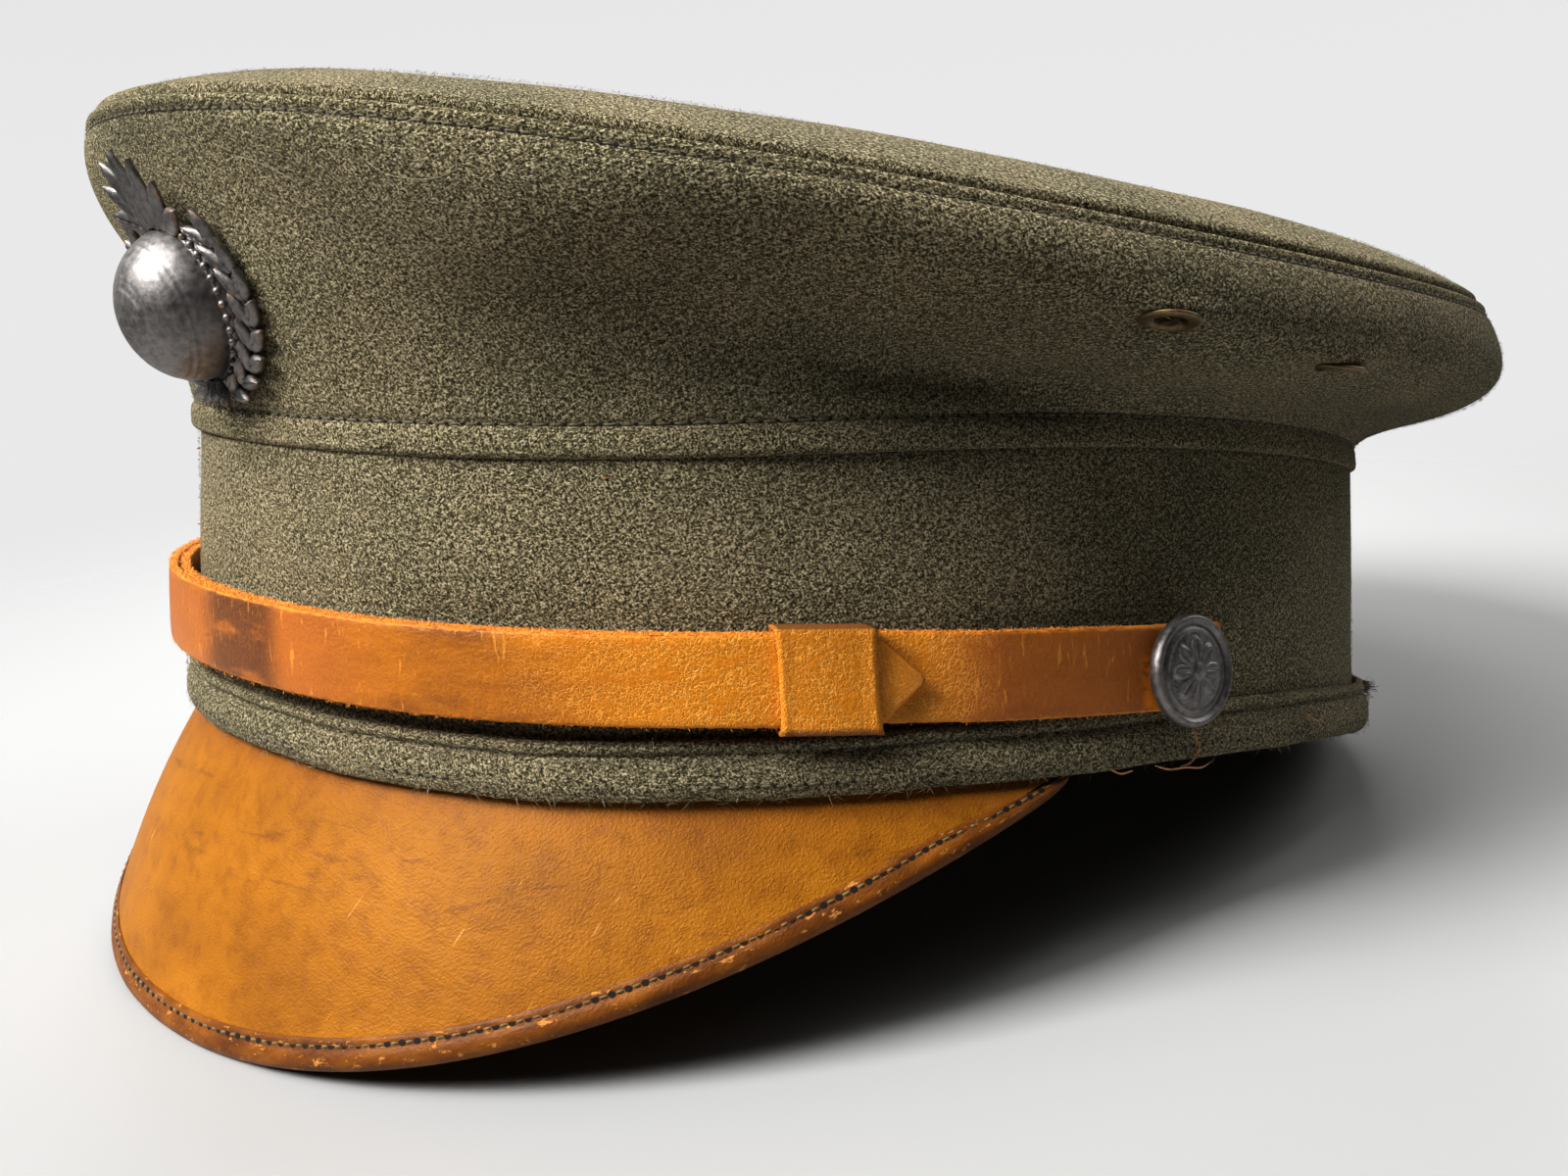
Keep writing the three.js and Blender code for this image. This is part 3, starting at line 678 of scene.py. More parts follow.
def wool_material():
    """Fulled melange wool: pale and dark fibres that lie all ways over a faint twill."""
    look = Look(
        "wool", Roughness=0.94, Specular_IOR_Level=0.15, Sheen_Weight=0.06, Sheen_Roughness=0.5,
        Sheen_Tint=(0.8, 0.72, 0.5, 1),
    )
    cloth = look.surface_place()
    lying = look.pattern(cloth, (1.3, 4.6), 12, detail=2.0, bend=0.8)
    leaning = look.pattern(cloth, (1.4, 4.4), -38, (7, 3), detail=2.0, bend=0.8)
    rising = look.pattern(cloth, (1.5, 4.2), 70, (3, 9), detail=2.0, bend=0.6)
    fibres = look.maths("DIVIDE", lying + leaning + rising, 3.0)
    grain = look.pattern(cloth, (3.2, 3.2), detail=2.0)
    twill = look.split(look.mapped(cloth, (1, 1), 55))[0]
    ribs = look.maths("SINE", twill * 6.5)
    patches = look.pattern(cloth, (0.035, 0.05), detail=4.0)
    tone = patches.times_plus(0.07, ribs.times_plus(0.008, fibres + grain * 0.3))
    colour = look.ramp(look.stretch(tone, 0.55, 0.79), [
        (0.0, (0.02, 0.017, 0.009)),
        (0.34, (0.078, 0.067, 0.037)),
        (0.58, (0.155, 0.132, 0.077)),
        (0.8, (0.29, 0.25, 0.16)),
        (1.0, (0.52, 0.46, 0.32)),
    ])
    warmth = look.mix(look.stretch(patches, 0.35, 0.65), (0.985, 1.0, 0.97), (1.015, 0.99, 0.95))
    colour = look.mix(1.0, colour, warmth, "MULTIPLY")
    return look.finish(colour, relief=fibres * 1.6 + grain * 0.5, depth=0.44)


def fibre_material(name, stops):
    """Loose fibres, each in a tone of its own."""
    look = Look(name, Roughness=0.8, Specular_IOR_Level=0.3, Sheen_Weight=0.3, Sheen_Roughness=0.4)
    return look.finish(look.ramp(look.attribute("tone"), stops))


def thread_material(name, colour):
    """Twisted sewing thread."""
    look = Look(name, Roughness=0.75, Sheen_Weight=0.2)
    uneven = look.noise(look.object_place(), fine=1400.0, detail=2.0)
    dark = tuple(0.45 * c for c in colour)
    return look.finish(look.ramp(uneven, [(0.3, dark), (0.62, colour)]), relief=uneven, depth=0.08)


def visor_material():
    """Smooth tan leather: orange in the thick of it, with stains, small scuffs and fine creases."""
    look = Look("visor_leather", Specular_IOR_Level=0.18, Sheen_Weight=0.03, Sheen_Roughness=0.35)
    skin = look.surface_place()
    down = look.split(skin)[1]
    mottle = look.pattern(skin, (0.28, 0.28), detail=4.0, rough=0.65)
    colour = look.ramp(look.pattern(skin, (0.03, 0.045), detail=5.0, rough=0.6), [
        (0.3, (0.225, 0.084, 0.004)),
        (0.5, (0.3, 0.117, 0.004)),
        (0.7, (0.35, 0.143, 0.008)),
    ])
    specks = look.ramp(mottle, [
        (0.34, (0.78, 0.72, 0.62)),
        (0.52, (1.0, 1.0, 1.0)),
        (0.7, (1.05, 1.06, 1.1)),
    ])
    colour = look.mix(0.8, colour, specks, "MULTIPLY")
    streaks = look.pattern(skin, (0.06, 0.3), 6, (4, 11), detail=5.0, rough=0.7, bend=0.7)
    stain = look.stretch(streaks, 0.56, 0.66) * (look.stretch(down, 4, 10) * look.stretch(down, 24, 15))
    colour = look.mix(stain * 0.5, colour, (0.14, 0.048, 0.007))
    scratches = look.pattern(skin, (0.9, 0.07), -24, (2, 5), detail=3.0, rough=0.6, bend=0.3)
    colour = look.mix(look.stretch(scratches, 0.69, 0.74) * 0.4, colour, (0.72, 0.38, 0.12))
    # Painted shade: darker over the 7 mm next to the root, under the welt.
    root_shade = look.stretch(down, 7, 0)
    colour = look.mix(root_shade * 0.5, colour, (0.26, 0.085, 0.014))
    grain = look.stretch(look.leather_cells(skin, 0.55), 0.0, 0.35)
    fine = look.pattern(skin, (1.6, 2.4), 30, detail=3.0, rough=0.6)
    creases = look.pattern(skin, (0.11, 0.55), -18, detail=4.0, rough=0.6, bend=0.9)
    relief = creases.times_plus(0.9, grain.times_plus(0.16, fine * 0.8))
    return look.finish(colour, mottle.times_plus(0.24, 0.36), relief, 0.2, 0.9)


def binding_material():
    """The peak's bound edge: browner than the peak, rubbed down to raw leather in places."""
    look = Look("binding_leather", Specular_IOR_Level=0.2)
    skin = look.surface_place()
    colour = look.ramp(look.pattern(skin, (0.12, 0.3), detail=5.0, rough=0.6), [
        (0.32, (0.09, 0.027, 0.004)),
        (0.5, (0.165, 0.055, 0.006)),
        (0.68, (0.25, 0.093, 0.009)),
    ])
    rubbed = look.stretch(look.pattern(skin, (0.35, 0.75), 0, (3, 8), detail=6.0, rough=0.72), 0.575, 0.625)
    colour = look.mix(rubbed * 0.75, colour, (0.6, 0.28, 0.075))
    fine = look.pattern(skin, (1.5, 1.5), detail=4.0, rough=0.65)
    return look.finish(colour, rubbed.times_plus(0.3, 0.4), rubbed.times_plus(-0.35, fine), 0.14)


def strap_material(name, crackled, burnished_and_sheen=(), smudged=(), raw=(), loop=False):
    """Strap leather. The places are stretches along it, in millimetres: start, full from, full to, end.

    The leather of a loop is darkened by burnish where it bends round the strap, and raw at its sides.
    """
    look = Look(name, Specular_IOR_Level=0.28, Coat_Weight=0.04, Coat_Roughness=0.4)
    skin = look.surface_place()
    along, across, _ = look.split(skin)

    def within(places):
        total = along * 0.0
        for start, full_from, full_to, end in places:
            here = look.stretch(along, start, full_from) * look.stretch(along, end, full_to)
            total = total.greater(here)
        return total

    colour = look.ramp(look.pattern(skin, (0.05, 0.13), detail=5.0, rough=0.6), [
        (0.32, (0.19, 0.058, 0.012)),
        (0.5, (0.33, 0.115, 0.01)),
        (0.66, (0.46, 0.165, 0.011)),
    ])
    crackle = within(crackled)
    smear = look.pattern(skin, (0.07, 0.25), detail=4.0, rough=0.65)
    # Paler, pinker brown over the listed stretches: partly real burnish and partly painted sheen.
    burnish_and_sheen_mask = within(burnished_and_sheen) * look.stretch(smear, 0.2, 0.5)
    smudge = within(smudged) * look.stretch(smear, 0.3, 0.5)
    colour = look.mix(crackle * 0.75, colour, (0.68, 0.25, 0.011))
    colour = look.mix(burnish_and_sheen_mask * 0.85, colour, (0.4, 0.13, 0.026))
    colour = look.mix(smudge * 0.8, colour, (0.075, 0.026, 0.014))
    patchy = look.stretch(look.pattern(skin, (0.3, 0.4), detail=3.0), 0.25, 0.55)
    furrows = look.stretch(look.leather_cells(skin, 0.5), 0.13, 0.03)
    furrows = furrows * (crackle.times_plus(0.62, 0.08) * patchy)
    colour = look.mix(furrows, colour, (0.8, 0.4, 0.07))
    cracks = look.pattern(skin, (1.3, 0.22), 4, (5, 2), detail=4.0, rough=0.6, bend=0.9)
    open_cracks = look.stretch(burnish_and_sheen_mask.times_plus(0.02, cracks), 0.62, 0.7) * 0.4
    colour = look.mix(open_cracks, colour, (0.85, 0.4, 0.08))
    torn = look.stretch(look.pattern(skin, (0.4, 0.5), 20, detail=5.0, rough=0.7), 0.42, 0.5)
    torn = torn * look.stretch(across, 8.5, 6.5) * within(raw)
    colour = look.mix(torn, colour, (0.8, 0.28, 0.03))
    half = STRAP["width"] / 2
    from_middle = abs(across - half)
    if loop:
        bent = look.stretch(from_middle, half - 0.05, half + 0.75)
        colour = look.mix(bent * 0.8, colour, (0.15, 0.055, 0.02))
        from_middle = abs(along - half)
    else:
        near_tip = look.stretch(along, 8.0, 2.0)
        from_middle = near_tip.times_plus(0.9, from_middle)
    wander = look.pattern(skin, (0.5, 0.2), detail=4.0) * 1.1
    edge = look.stretch(from_middle + wander, half, half + 0.5)
    colour = look.mix(edge * (0.3 if loop else 0.85), colour, (0.72, 0.28, 0.03))
    fine = look.pattern(skin, (1.3, 1.3), detail=4.0, rough=0.65)
    return look.finish(colour, edge.times_plus(0.4, 0.38), furrows.times_plus(-0.55, fine), 0.17)


def bronze_material(name, dark, worn):
    """Darkened bronze. The wear attribute brings the paler metal through on high spots and edges."""
    look = Look(name, Metallic=0.85)
    place = look.object_place()
    spots = look.noise(place, fine=900.0, detail=5.0, rough=0.65)
    broad = look.noise(place, fine=160.0, detail=4.0)
    wear = look.attribute("wear") + broad.times_plus(0.9, -0.45)
    wear = look.stretch(spots.times_plus(0.5, wear), 0.8, 1.15)
    brighter = tuple(min(1, 2.3 * c) for c in dark)
    colour = look.mix(wear, look.ramp(spots, [(0.3, dark), (0.7, brighter)]), worn)
    return look.finish(colour, spots.times_plus(0.3, 0.33), spots, 0.06)


def even_material(name, colour, rough=0.9):
    return Look(name, Base_Color=(*colour, 1), Roughness=rough).material


WOOL = wool_material()
FUZZ = fibre_material("wool_fuzz", [
    (0.0, (0.026, 0.022, 0.012)),
    (0.45, (0.1, 0.085, 0.05)),
    (0.8, (0.22, 0.19, 0.12)),
    (0.97, (0.42, 0.37, 0.26)),
])
WOOL_THREAD = thread_material("olive_thread", (0.15, 0.125, 0.07))
VISOR_THREAD = thread_material("khaki_thread", (0.19, 0.14, 0.055))
TAN_THREAD = thread_material("tan_thread", (0.5, 0.24, 0.08))
# Near black: the painted shade inside the needle holes.
NEEDLE_HOLE_SHADE = even_material("needle_hole_shade", (0.006, 0.004, 0.003))
VISOR_LEATHER = visor_material()
BINDING_LEATHER = binding_material()
BRONZE = bronze_material("dark_bronze", (0.135, 0.127, 0.122), (0.6, 0.34, 0.2))
BRASS = bronze_material("aged_brass", (0.13, 0.095, 0.05), (0.45, 0.33, 0.2))


# Woollen pieces

COLUMNS = 480
WELT_COLUMNS = 600
SIDE_ROWS = 50
# Heights of the crown's side and reach of its top, in millimetres, for the spacing of their waves.
SIDE_RISE = 50
TOP_REACH = 110
# The fold of cloth round an eyelet, in millimetres. One degree round the crown is `degree` long and
# the crown's side rises `rise`.
EYELET_LIP = {"degree": 1.7, "rise": 48, "height": 1.5, "pinch": 0.5, "above": 3.0, "tall": 1.9, "wide": 5.5}
CROWN_WAVES = [
    (3, 1.5, 0.4, 0.35), (5, -2.2, 1.9, 0.25), (8, 2.6, 4.1, 0.2), (13, -3.4, 0.7, 0.12),
    (19, 4.2, 2.8, 0.07),
]
BAND_WAVES = [(4, 2.0, 1.0, 0.2), (9, -3.0, 2.2, 0.12), (15, 4.0, 5.0, 0.07)]
WELT_WAVES_OUT = [(11, 0, 0.3, 0.03), (23, 0, 2.0, 0.025), (41, 0, 1.1, 0.02)]
WELT_WAVES_UP = [(7, 0, 1.3, 0.12), (17, 0, 0.6, 0.08), (37, 0, 2.9, 0.05)]

# The folded lower edge of the crown, and its edge at the top seam: distance from the seam, outward.
FOLD = np.array([
    (-1.1, 0.0), (-1.0, 0.45), (-0.8, 0.8), (-0.4, 1.0), (0, 1.05), (1, 0.95), (2.2, 0.65),
    (2.8, 0.2), (3.1, -0.22), (3.4, -0.2), (4.0, 0.06), (6, 0.05), (9, 0),
])
SEAM_EDGE = np.array([
    (0, -1.1), (0.15, -0.5), (0.4, 0.05), (0.8, 0.38), (1.3, 0.42), (1.8, 0.2), (2.1, -0.12),
    (2.4, -0.2), (2.8, 0.0), (3.5, 0.12), (5, 0.05), (8, 0),
])
TOP_EDGE = np.array([(0, -1.1), (0.15, -0.5), (0.45, 0.0), (0.9, 0.3), (1.8, 0.3), (4, 0.1), (8, 0)])
# Distances from the seams at which the cloth has rows of points.
FOLD_ROWS = np.array([0, 0.5, 1, 1.6, 2.2, 2.6, 2.85, 3.1, 3.35, 3.7, 4.2, 5, 6])
FOLD_UNDER_ROWS = np.array([-1.1, -1.02, -0.9, -0.7, -0.4, -0.2])
SEAM_ROWS = np.array([6, 5, 4.2, 3.5, 3.0, 2.7, 2.4, 2.15, 1.9, 1.6, 1.2, 0.8, 0.5, 0.3, 0.15, 0.05, 0.0])
TOP_ROWS = np.array([9, 7.5, 6, 5, 4, 3.2, 2.5, 1.9, 1.4, 1.0, 0.7, 0.45, 0.3, 0.15, 0.05, 0.0])
# The top panel's inner side: shares from the seam to its middle.
TOP_INNER_SHARES = np.array([0.99, 0.96, 0.9, 0.75, 0.5, 0.25, 0.001])
CROWN_HEIGHT = 60
# The hole through the cloth in each eyelet: radius, depth.
DRILL = [(0, -6), (2.7, -6), (2.7, 6), (0, 6)]


def shares_at(surface, angle, fine, distances, from_end):
    """Shares at which a surface is a number of millimetres from one of its edges."""
    length = lengths_along(surface(angle[None, :], fine[:, None]), 0)
    shares = np.empty((len(distances), len(angle)))
    for column in range(len(angle)):
        wanted = length[-1, column] - distances if from_end else distances
        shares[:, column] = np.interp(wanted, length[:, column], fine)
    return shares


def crown_shares(angle, distances, from_top):
    """Shares of the crown's side at distances from the top seam or from the band."""
    return shares_at(crown_curve, angle, np.linspace(0, 1, 120), distances, from_top)


def eyelet_lips(angle, share):
    """The cloth swells over the upper half of each eyelet and is pinched in below it."""
    lip = EYELET_LIP
    swell = 0
    for side in (1, -1):
        for degrees, place in EYELETS:
            along = (angle / DEGREE - side * degrees) * lip["degree"]
            climb = (share - place) * lip["rise"]
            high = lip["height"] * np.exp(-(((climb - lip["above"]) / lip["tall"]) ** 2))
            low = lip["pinch"] * np.exp(-(((climb + lip["above"]) / lip["tall"]) ** 2))
            swell = swell + (high - low) * np.exp(-((along / lip["wide"]) ** 2))
    return swell


def at_rows(section, rows, angle):
    """A section's outward distance at each row, the same all round."""
    return np.interp(rows, *section.T)[:, None] + 0 * angle


def crown_side_grid():
    """The crown's side: its folded lower edge, its outer face, the rolled top edge and the inner face."""
    angle = around(COLUMNS)
    low_share = crown_shares(angle, FOLD_ROWS, False)
    top_share = crown_shares(angle, SEAM_ROWS, True)
    blend = np.linspace(0, 1, SIDE_ROWS + 2)[1:-1, None]
    middle = low_share[-1] + (top_share[0] - low_share[-1]) * blend
    share = np.concatenate([low_share, middle, top_share])
    out = np.concatenate([at_rows(FOLD, FOLD_ROWS, angle), 0 * middle, at_rows(SEAM_EDGE, SEAM_ROWS, angle)])
    out = out + waves(angle, share * SIDE_RISE, CROWN_WAVES) * np.sin(np.pi * share)
    outer = crown_point(angle, share, out + eyelet_lips(angle, share))
    under_height = BAND["height"] + FIT_GAP + FOLD_UNDER_ROWS[:, None]
    below = band_point(angle, under_height, np.interp(FOLD_UNDER_ROWS, *FOLD.T)[:, None])
    inner = crown_point(angle, np.linspace(1, 0, 14)[:, None], -CLOTH)
    return closed(np.concatenate([below, outer, inner]))


def drilled(piece, tools):
    """Cuts the tools out of a piece."""
    for tool in tools:
        cutter = bpy.data.objects.new("cutter", tool)
        bpy.context.scene.collection.objects.link(cutter)
        modifier = piece.modifiers.new("hole", "BOOLEAN")
        modifier.object = cutter
        modifier.operation = "DIFFERENCE"
        modifier.solver = "EXACT"
        with bpy.context.temp_override(object=piece):
            bpy.ops.object.modifier_apply(modifier=modifier.name)
        bpy.data.objects.remove(cutter)


def turned_points(profile, steps, frame_vectors):
    """A profile of (radius, up) turned round the outward axis of a frame, as a grid."""
    origin, along, upward, outward = frame_vectors
    turn = np.linspace(0, TURN, steps + 1)
    radius, height = np.array(profile).T[:, :, None, None]
    ring = along * np.cos(turn)[:, None] + upward * np.sin(turn)[:, None]
    return origin + ring * radius + outward * height


def crown_frame(degrees, share):
    """A frame on the crown's side."""
    def place(angle, up, out):
        return crown_point(angle, share + up / CROWN_HEIGHT, out)
    return frame_at(place, degrees * DEGREE, 0.0)


def crown_top_grid():
    """The top panel from its middle to the seam, and its inner face back to the middle."""
    angle = around(COLUMNS)
    inner_shares = np.concatenate([[0.001], np.linspace(0.03, 0.9, 40)])[:, None] + 0 * angle
    # Near its edge the panel falls steeply, so shares there are spaced by length along the curve.
    edge_shares = shares_at(top_surface, angle, np.linspace(0.8, 1, 200), TOP_ROWS, True)
    shares = np.sort(np.concatenate([inner_shares, edge_shares]), axis=0)
    far_from_edge = np.full(len(inner_shares), 20.0)
    out = at_rows(TOP_EDGE, np.concatenate([far_from_edge, TOP_ROWS]), angle)
    out = out + waves(angle, shares * TOP_REACH, CROWN_WAVES) * shares * (1 - shares) * 3
    outer = top_point(angle, shares, out)
    outer[-1] = crown_point(angle, 1.0, SEAM_EDGE[0, 1])
    return np.concatenate([outer, top_point(angle, TOP_INNER_SHARES[:, None], -CLOTH)])


def band_grid():
    """The band's outer face upward, and its inner face downward."""
    angle = around(COLUMNS)
    outer_rows, inner_rows = 26, 8
    up = np.linspace(0, BAND["height"], outer_rows)[:, None]
    down = np.linspace(BAND["height"], 0, inner_rows)[:, None]
    outer = band_point(angle, up, waves(angle, up, BAND_WAVES))
    return closed(np.concatenate([outer, band_point(angle, down, -CLOTH)]))


def welt_grid():
    """The edge roll of two ridges, slightly uneven along its way."""
    angle = around(WELT_COLUMNS)
    section = closed(rounded(WELT_SECTION))
    out = section[:, :1] * (1 + waves(angle, 0, WELT_WAVES_OUT))
    up = section[:, 1:] + waves(angle, 0, WELT_WAVES_UP)
    return band_point(angle, up, out)


crown_side = add_grid(
    "crown_side_cloth", crown_side_grid(), WOOL, "wool", ["crown_side"],
    closed_rows=True, closed_columns=True,
)
eyelet_frames = [crown_frame(side * angle, share) for side in (1, -1) for angle, share in EYELETS]
drilled(crown_side, [
    grid_mesh("drill", turned_points(DRILL, 24, vectors), closed_columns=True) for vectors in eyelet_frames
])
crown_top = crown_top_grid()
add_grid(
    "crown_top_cloth", crown_top, WOOL, "wool", ["crown_top"], uv=disc_uv(crown_top), closed_columns=True,
)
for name, points, node_name in (
    ("band_cloth", band_grid(), "band"),
    ("welt_cloth", welt_grid(), "lower_welt"),
):
    add_grid(name, points, WOOL, "wool", [node_name], closed_rows=True, closed_columns=True)


# Sewing on the wool

WOOL_STITCH = {"gap": 0.5, "radius": 0.19, "lift": 0.02}
WOOL_HOLE_SHADE = {"radius": 0.24, "lift": 0.1}


def crown_sewing(distance, from_top):
    """A line on the crown's side at a distance from one of its seams, sunk a little into the cloth."""
    sparse = around(180)
    share = crown_shares(sparse, np.array([distance]), from_top)[0]

    def place(angle, out):
        return crown_point(angle, np.interp(angle, sparse, share), out - 0.15)
    return place


def welt_sewing(angle, out):
    return band_point(angle, 0.9, out + 2.45)


for name, place, pitch in (
    ("top_seam_stitches", crown_sewing(2.3, True), 1.9),
    ("fold_stitches", crown_sewing(3.2, False), 2.2),
    ("welt_stitches", welt_sewing, 2.0),
):
    sewn = around(1599)
    points = place(sewn, 0.0)
    line = SewnLine(points, unit(place(sewn, 1.0) - points), pitch, True)
    stitch_row(name, line, **WOOL_STITCH, material=WOOL_THREAD, slot="wool")
    hole_shade_row(name + "_holes", line, **WOOL_HOLE_SHADE, slot="wool")


# Loose fibres on the wool

WOOL_FIBRE = {"length": 1.3, "lift": 0.3, "width": 0.055}


def top_polar(angle, share, out):
    """The top panel by area, so that fibres lie evenly on it."""
    return top_point(angle, np.sqrt(share), out)


def welt_face(angle, height, out):
    return band_point(angle, height, out + 2.5)


# Columns: piece, surface, first seed, count, range of the surface's second value.
for name, place, seed, count, low, high in (
    ("crown_side_fibres", crown_point, 11, 36000, 0.02, 0.99),
    ("crown_top_fibres", top_polar, 21, 30000, 0.0, 0.985),
    ("band_fibres", band_point, 31, 20000, 5, BAND["height"] - 1),
    ("welt_fibres", welt_face, 41, 9000, -1.0, 6.0),
):
    rng = np.random.default_rng(seed)
    angles = rng.uniform(-np.pi, np.pi, count)
    surface = sample_surface(place, angles, rng.uniform(low, high, count), 0.0)
    fibre_piece(name, surface, seed + 1, FUZZ, "wool", **WOOL_FIBRE)


# The peak

# Section of the bound edge: distance in from the peak's edge, and outward from its mid surface.
BINDING_SECTION = [
    (4.3, 1.14), (4.15, 1.3), (3.6, 1.42), (2.9, 1.32), (2.0, 1.5), (1.0, 1.42), (0.35, 1.0),
    (0.05, 0.3), (0.05, -0.4), (0.45, -1.1), (1.2, -1.45), (2.6, -1.45), (3.7, -1.4), (3.9, -1.2),
    (3.0, -0.9), (3.0, 0.9),
]
VISOR_COLUMNS = 221
BINDING_COLUMNS = 421
# The shell ends inside the bound edge.
BOUND_WIDTH = 2.2
BINDING_WAVES = [(23, 0, 0.0, 0.03), (47, 0, 1.7, 0.03)]
PEAK_STITCH = {"gap": 0.95, "radius": 0.21, "lift": 0.05}
PEAK_HOLE_SHADE = {"radius": 0.4, "lift": 0.09}
PEAK_SEWING = {"end": 75.5, "inset": 3.15, "out": 1.3, "pitch": 2.15}


def slimmed(length):
    """The bound edge grows narrower where the peak runs out at its two ends."""
    return np.clip(length / 12, 0.35, 1)


def visor_grid():
    """The shell of the peak: its outer face down to the edge, and its inner face back up."""
    angle = np.linspace(-VISOR["solid"], VISOR["solid"], VISOR_COLUMNS) * DEGREE
    outer_rows, inner_rows = 34, 16
    share = np.concatenate([np.linspace(0, 1, outer_rows), np.linspace(1, 0, inner_rows)])
    side = np.concatenate([np.full(outer_rows, LEATHER / 2), np.full(inner_rows, -LEATHER / 2)])
    length = visor_shape(angle)[2]
    shares = share[:, None] * (1 - np.minimum(BOUND_WIDTH / length, 0.5))
    points = visor_point(angle, shares, side[:, None] + 0 * angle)
    along = lengths_along(visor_point(angle, 0.6, 0.0)[None], 1)
    return closed(points), paired(along, closed(shares) * length)


def binding_grid():
    """The bound edge: its section carried along the edge of the peak."""
    end = VISOR["solid"] + 0.5
    angle = np.linspace(-end, end, BINDING_COLUMNS) * DEGREE
    section = closed(rounded(BINDING_SECTION))
    length = visor_shape(angle)[2]
    share = 1 - section[:, :1] * slimmed(length) / length
    points = visor_point(angle, share, section[:, 1:] + waves(angle, 0, BINDING_WAVES))
    along = lengths_along(visor_point(angle, 1.0, 0.0)[None], 1)
    return points, paired(along, lengths_along(section, 0)[:, None])


def capped(points, uv):
    """Closes a tube-like grid at its first and last columns."""
    start, end = (
        np.repeat(column.mean(0, keepdims=True), len(points), 0) for column in (points[:, :1], points[:, -1:])
    )
    return np.concatenate([start, points, end], 1), np.concatenate([uv[:, :1], uv, uv[:, -1:]], 1)


for name, grid, leather, slot, node_name in (
    ("visor_shell", visor_grid(), VISOR_LEATHER, "visor_leather", "visor"),
    ("visor_edge", binding_grid(), BINDING_LEATHER, "binding_leather", "visor_binding"),
):
    points, uv = capped(*grid)
    add_grid(name, points, leather, slot, [node_name], uv=uv, closed_rows=True)

stitch_angle = np.linspace(-PEAK_SEWING["end"], PEAK_SEWING["end"], 1200) * DEGREE
stitch_length = visor_shape(stitch_angle)[2]
stitch_share = 1 - PEAK_SEWING["inset"] * slimmed(stitch_length) / stitch_length
for name, sign in (("visor_stitches", 1), ("visor_stitches_under", -1)):
    points = visor_point(stitch_angle, stitch_share, sign * PEAK_SEWING["out"])
    further = visor_point(stitch_angle, stitch_share, sign * (PEAK_SEWING["out"] + 1))
    line = SewnLine(points, unit(further - points), PEAK_SEWING["pitch"], False)
    stitch_row(name, line, **PEAK_STITCH, material=VISOR_THREAD, slot="binding_leather")
    hole_shade_row(name + "_holes", line, **PEAK_HOLE_SHADE, slot="binding_leather")


# The chin strap

STRAP_SECTION = [
    (-5.75, 0.15), (-5.7, 1.05), (-5.3, 1.35), (-3, 1.42), (0, 1.45), (3, 1.42), (5.3, 1.35),
    (5.7, 1.05), (5.75, 0.15), (5.3, 0), (0, 0), (-5.3, 0),
]
SECTION_THICKNESS = 1.42
SECTION_EDGE = 5.0
RAGGED = 0.05

# Stretches along each layer from its tip, in millimetres.
OUTER_LEATHER = strap_material(
    "strap_leather_outer", crackled=[(-20, -10, 26, 58), (190, 205, 225, 240)],
    burnished_and_sheen=[(62, 84, 145, 170), (232, 240, 260, 280)], smudged=[(84, 90, 101, 110)],
    raw=[(236, 238, 241, 244)],
)
INNER_LEATHER = strap_material(
    "strap_leather_inner", crackled=[(20, 40, 60, 90), (186, 192, 203, 214)],
    burnished_and_sheen=[(200, 212, 260, 280)], smudged=[(60, 90, 120, 150)], raw=[(234, 236, 240, 243)],
)
KEEPER_LEATHER = strap_material("keeper_leather", crackled=[(-60, -50, 60, 70)], loop=True)


def strap_grid(tip, end, layer):
    """One layer between two angles. It narrows to a point over its first few millimetres."""
    tip_columns = 14
    tip_end = tip + np.sign(end - tip) * STRAP["tip_length"]
    degrees = np.concatenate([np.linspace(tip, tip_end, tip_columns), np.linspace(tip_end, end, 460)[1:]])
    angle = degrees * DEGREE
    width = np.interp(np.arange(len(degrees)), [0, tip_columns - 1], [0.06, 1])
    section = closed(rounded(STRAP_SECTION))
    base = strap_stand_off(angle) + layer_step(angle, layer)
    rng = np.random.default_rng(50 + layer)
    ragged = rng.normal(0, RAGGED, (len(section), len(degrees)))
    ragged *= np.abs(section[:, :1]) > SECTION_EDGE
    across = section[:, :1] * width + ragged
    out = base + section[:, 1:] * (STRAP["thickness"] / SECTION_THICKNESS) + ragged * 0.5
    along = lengths_along(strap_point(angle, 0.0, 1.0)[None], 1)
    over = np.clip(section[:, :1] + STRAP["width"] / 2, 0, STRAP["width"])
    return strap_point(angle, across, out), paired(along, over)


for name, tip, end, layer, leather, node_name in (
    ("strap_inner_leather", -STRAP["tip"], STRAP["end"], 0, INNER_LEATHER, "strap_inner"),
    ("strap_outer_leather", STRAP["tip"], -STRAP["end"], 1, OUTER_LEATHER, "strap_outer"),
):
    points, uv = capped(*strap_grid(tip, end, layer))
    add_grid(name, points, leather, "strap_leather", [node_name], uv=uv, closed_rows=True)


def keeper_outline(tall, depth, grow):
    """A rectangle with points along its sides, so that rounding keeps it nearly square."""
    middle = np.array([0, depth / 2])
    corners = [
        middle + np.array([x * (tall + grow), y * (depth / 2 + grow)])
        for x, y in ((-1, -1), (1, -1), (1, 1), (-1, 1))
    ]
    made = []
    for start, end in zip(corners, corners[1:] + corners[:1]):
        made += [start + (end - start) * share for share in (0.0, 0.12, 0.3, 0.5, 0.7, 0.88)]
    return rounded(made)


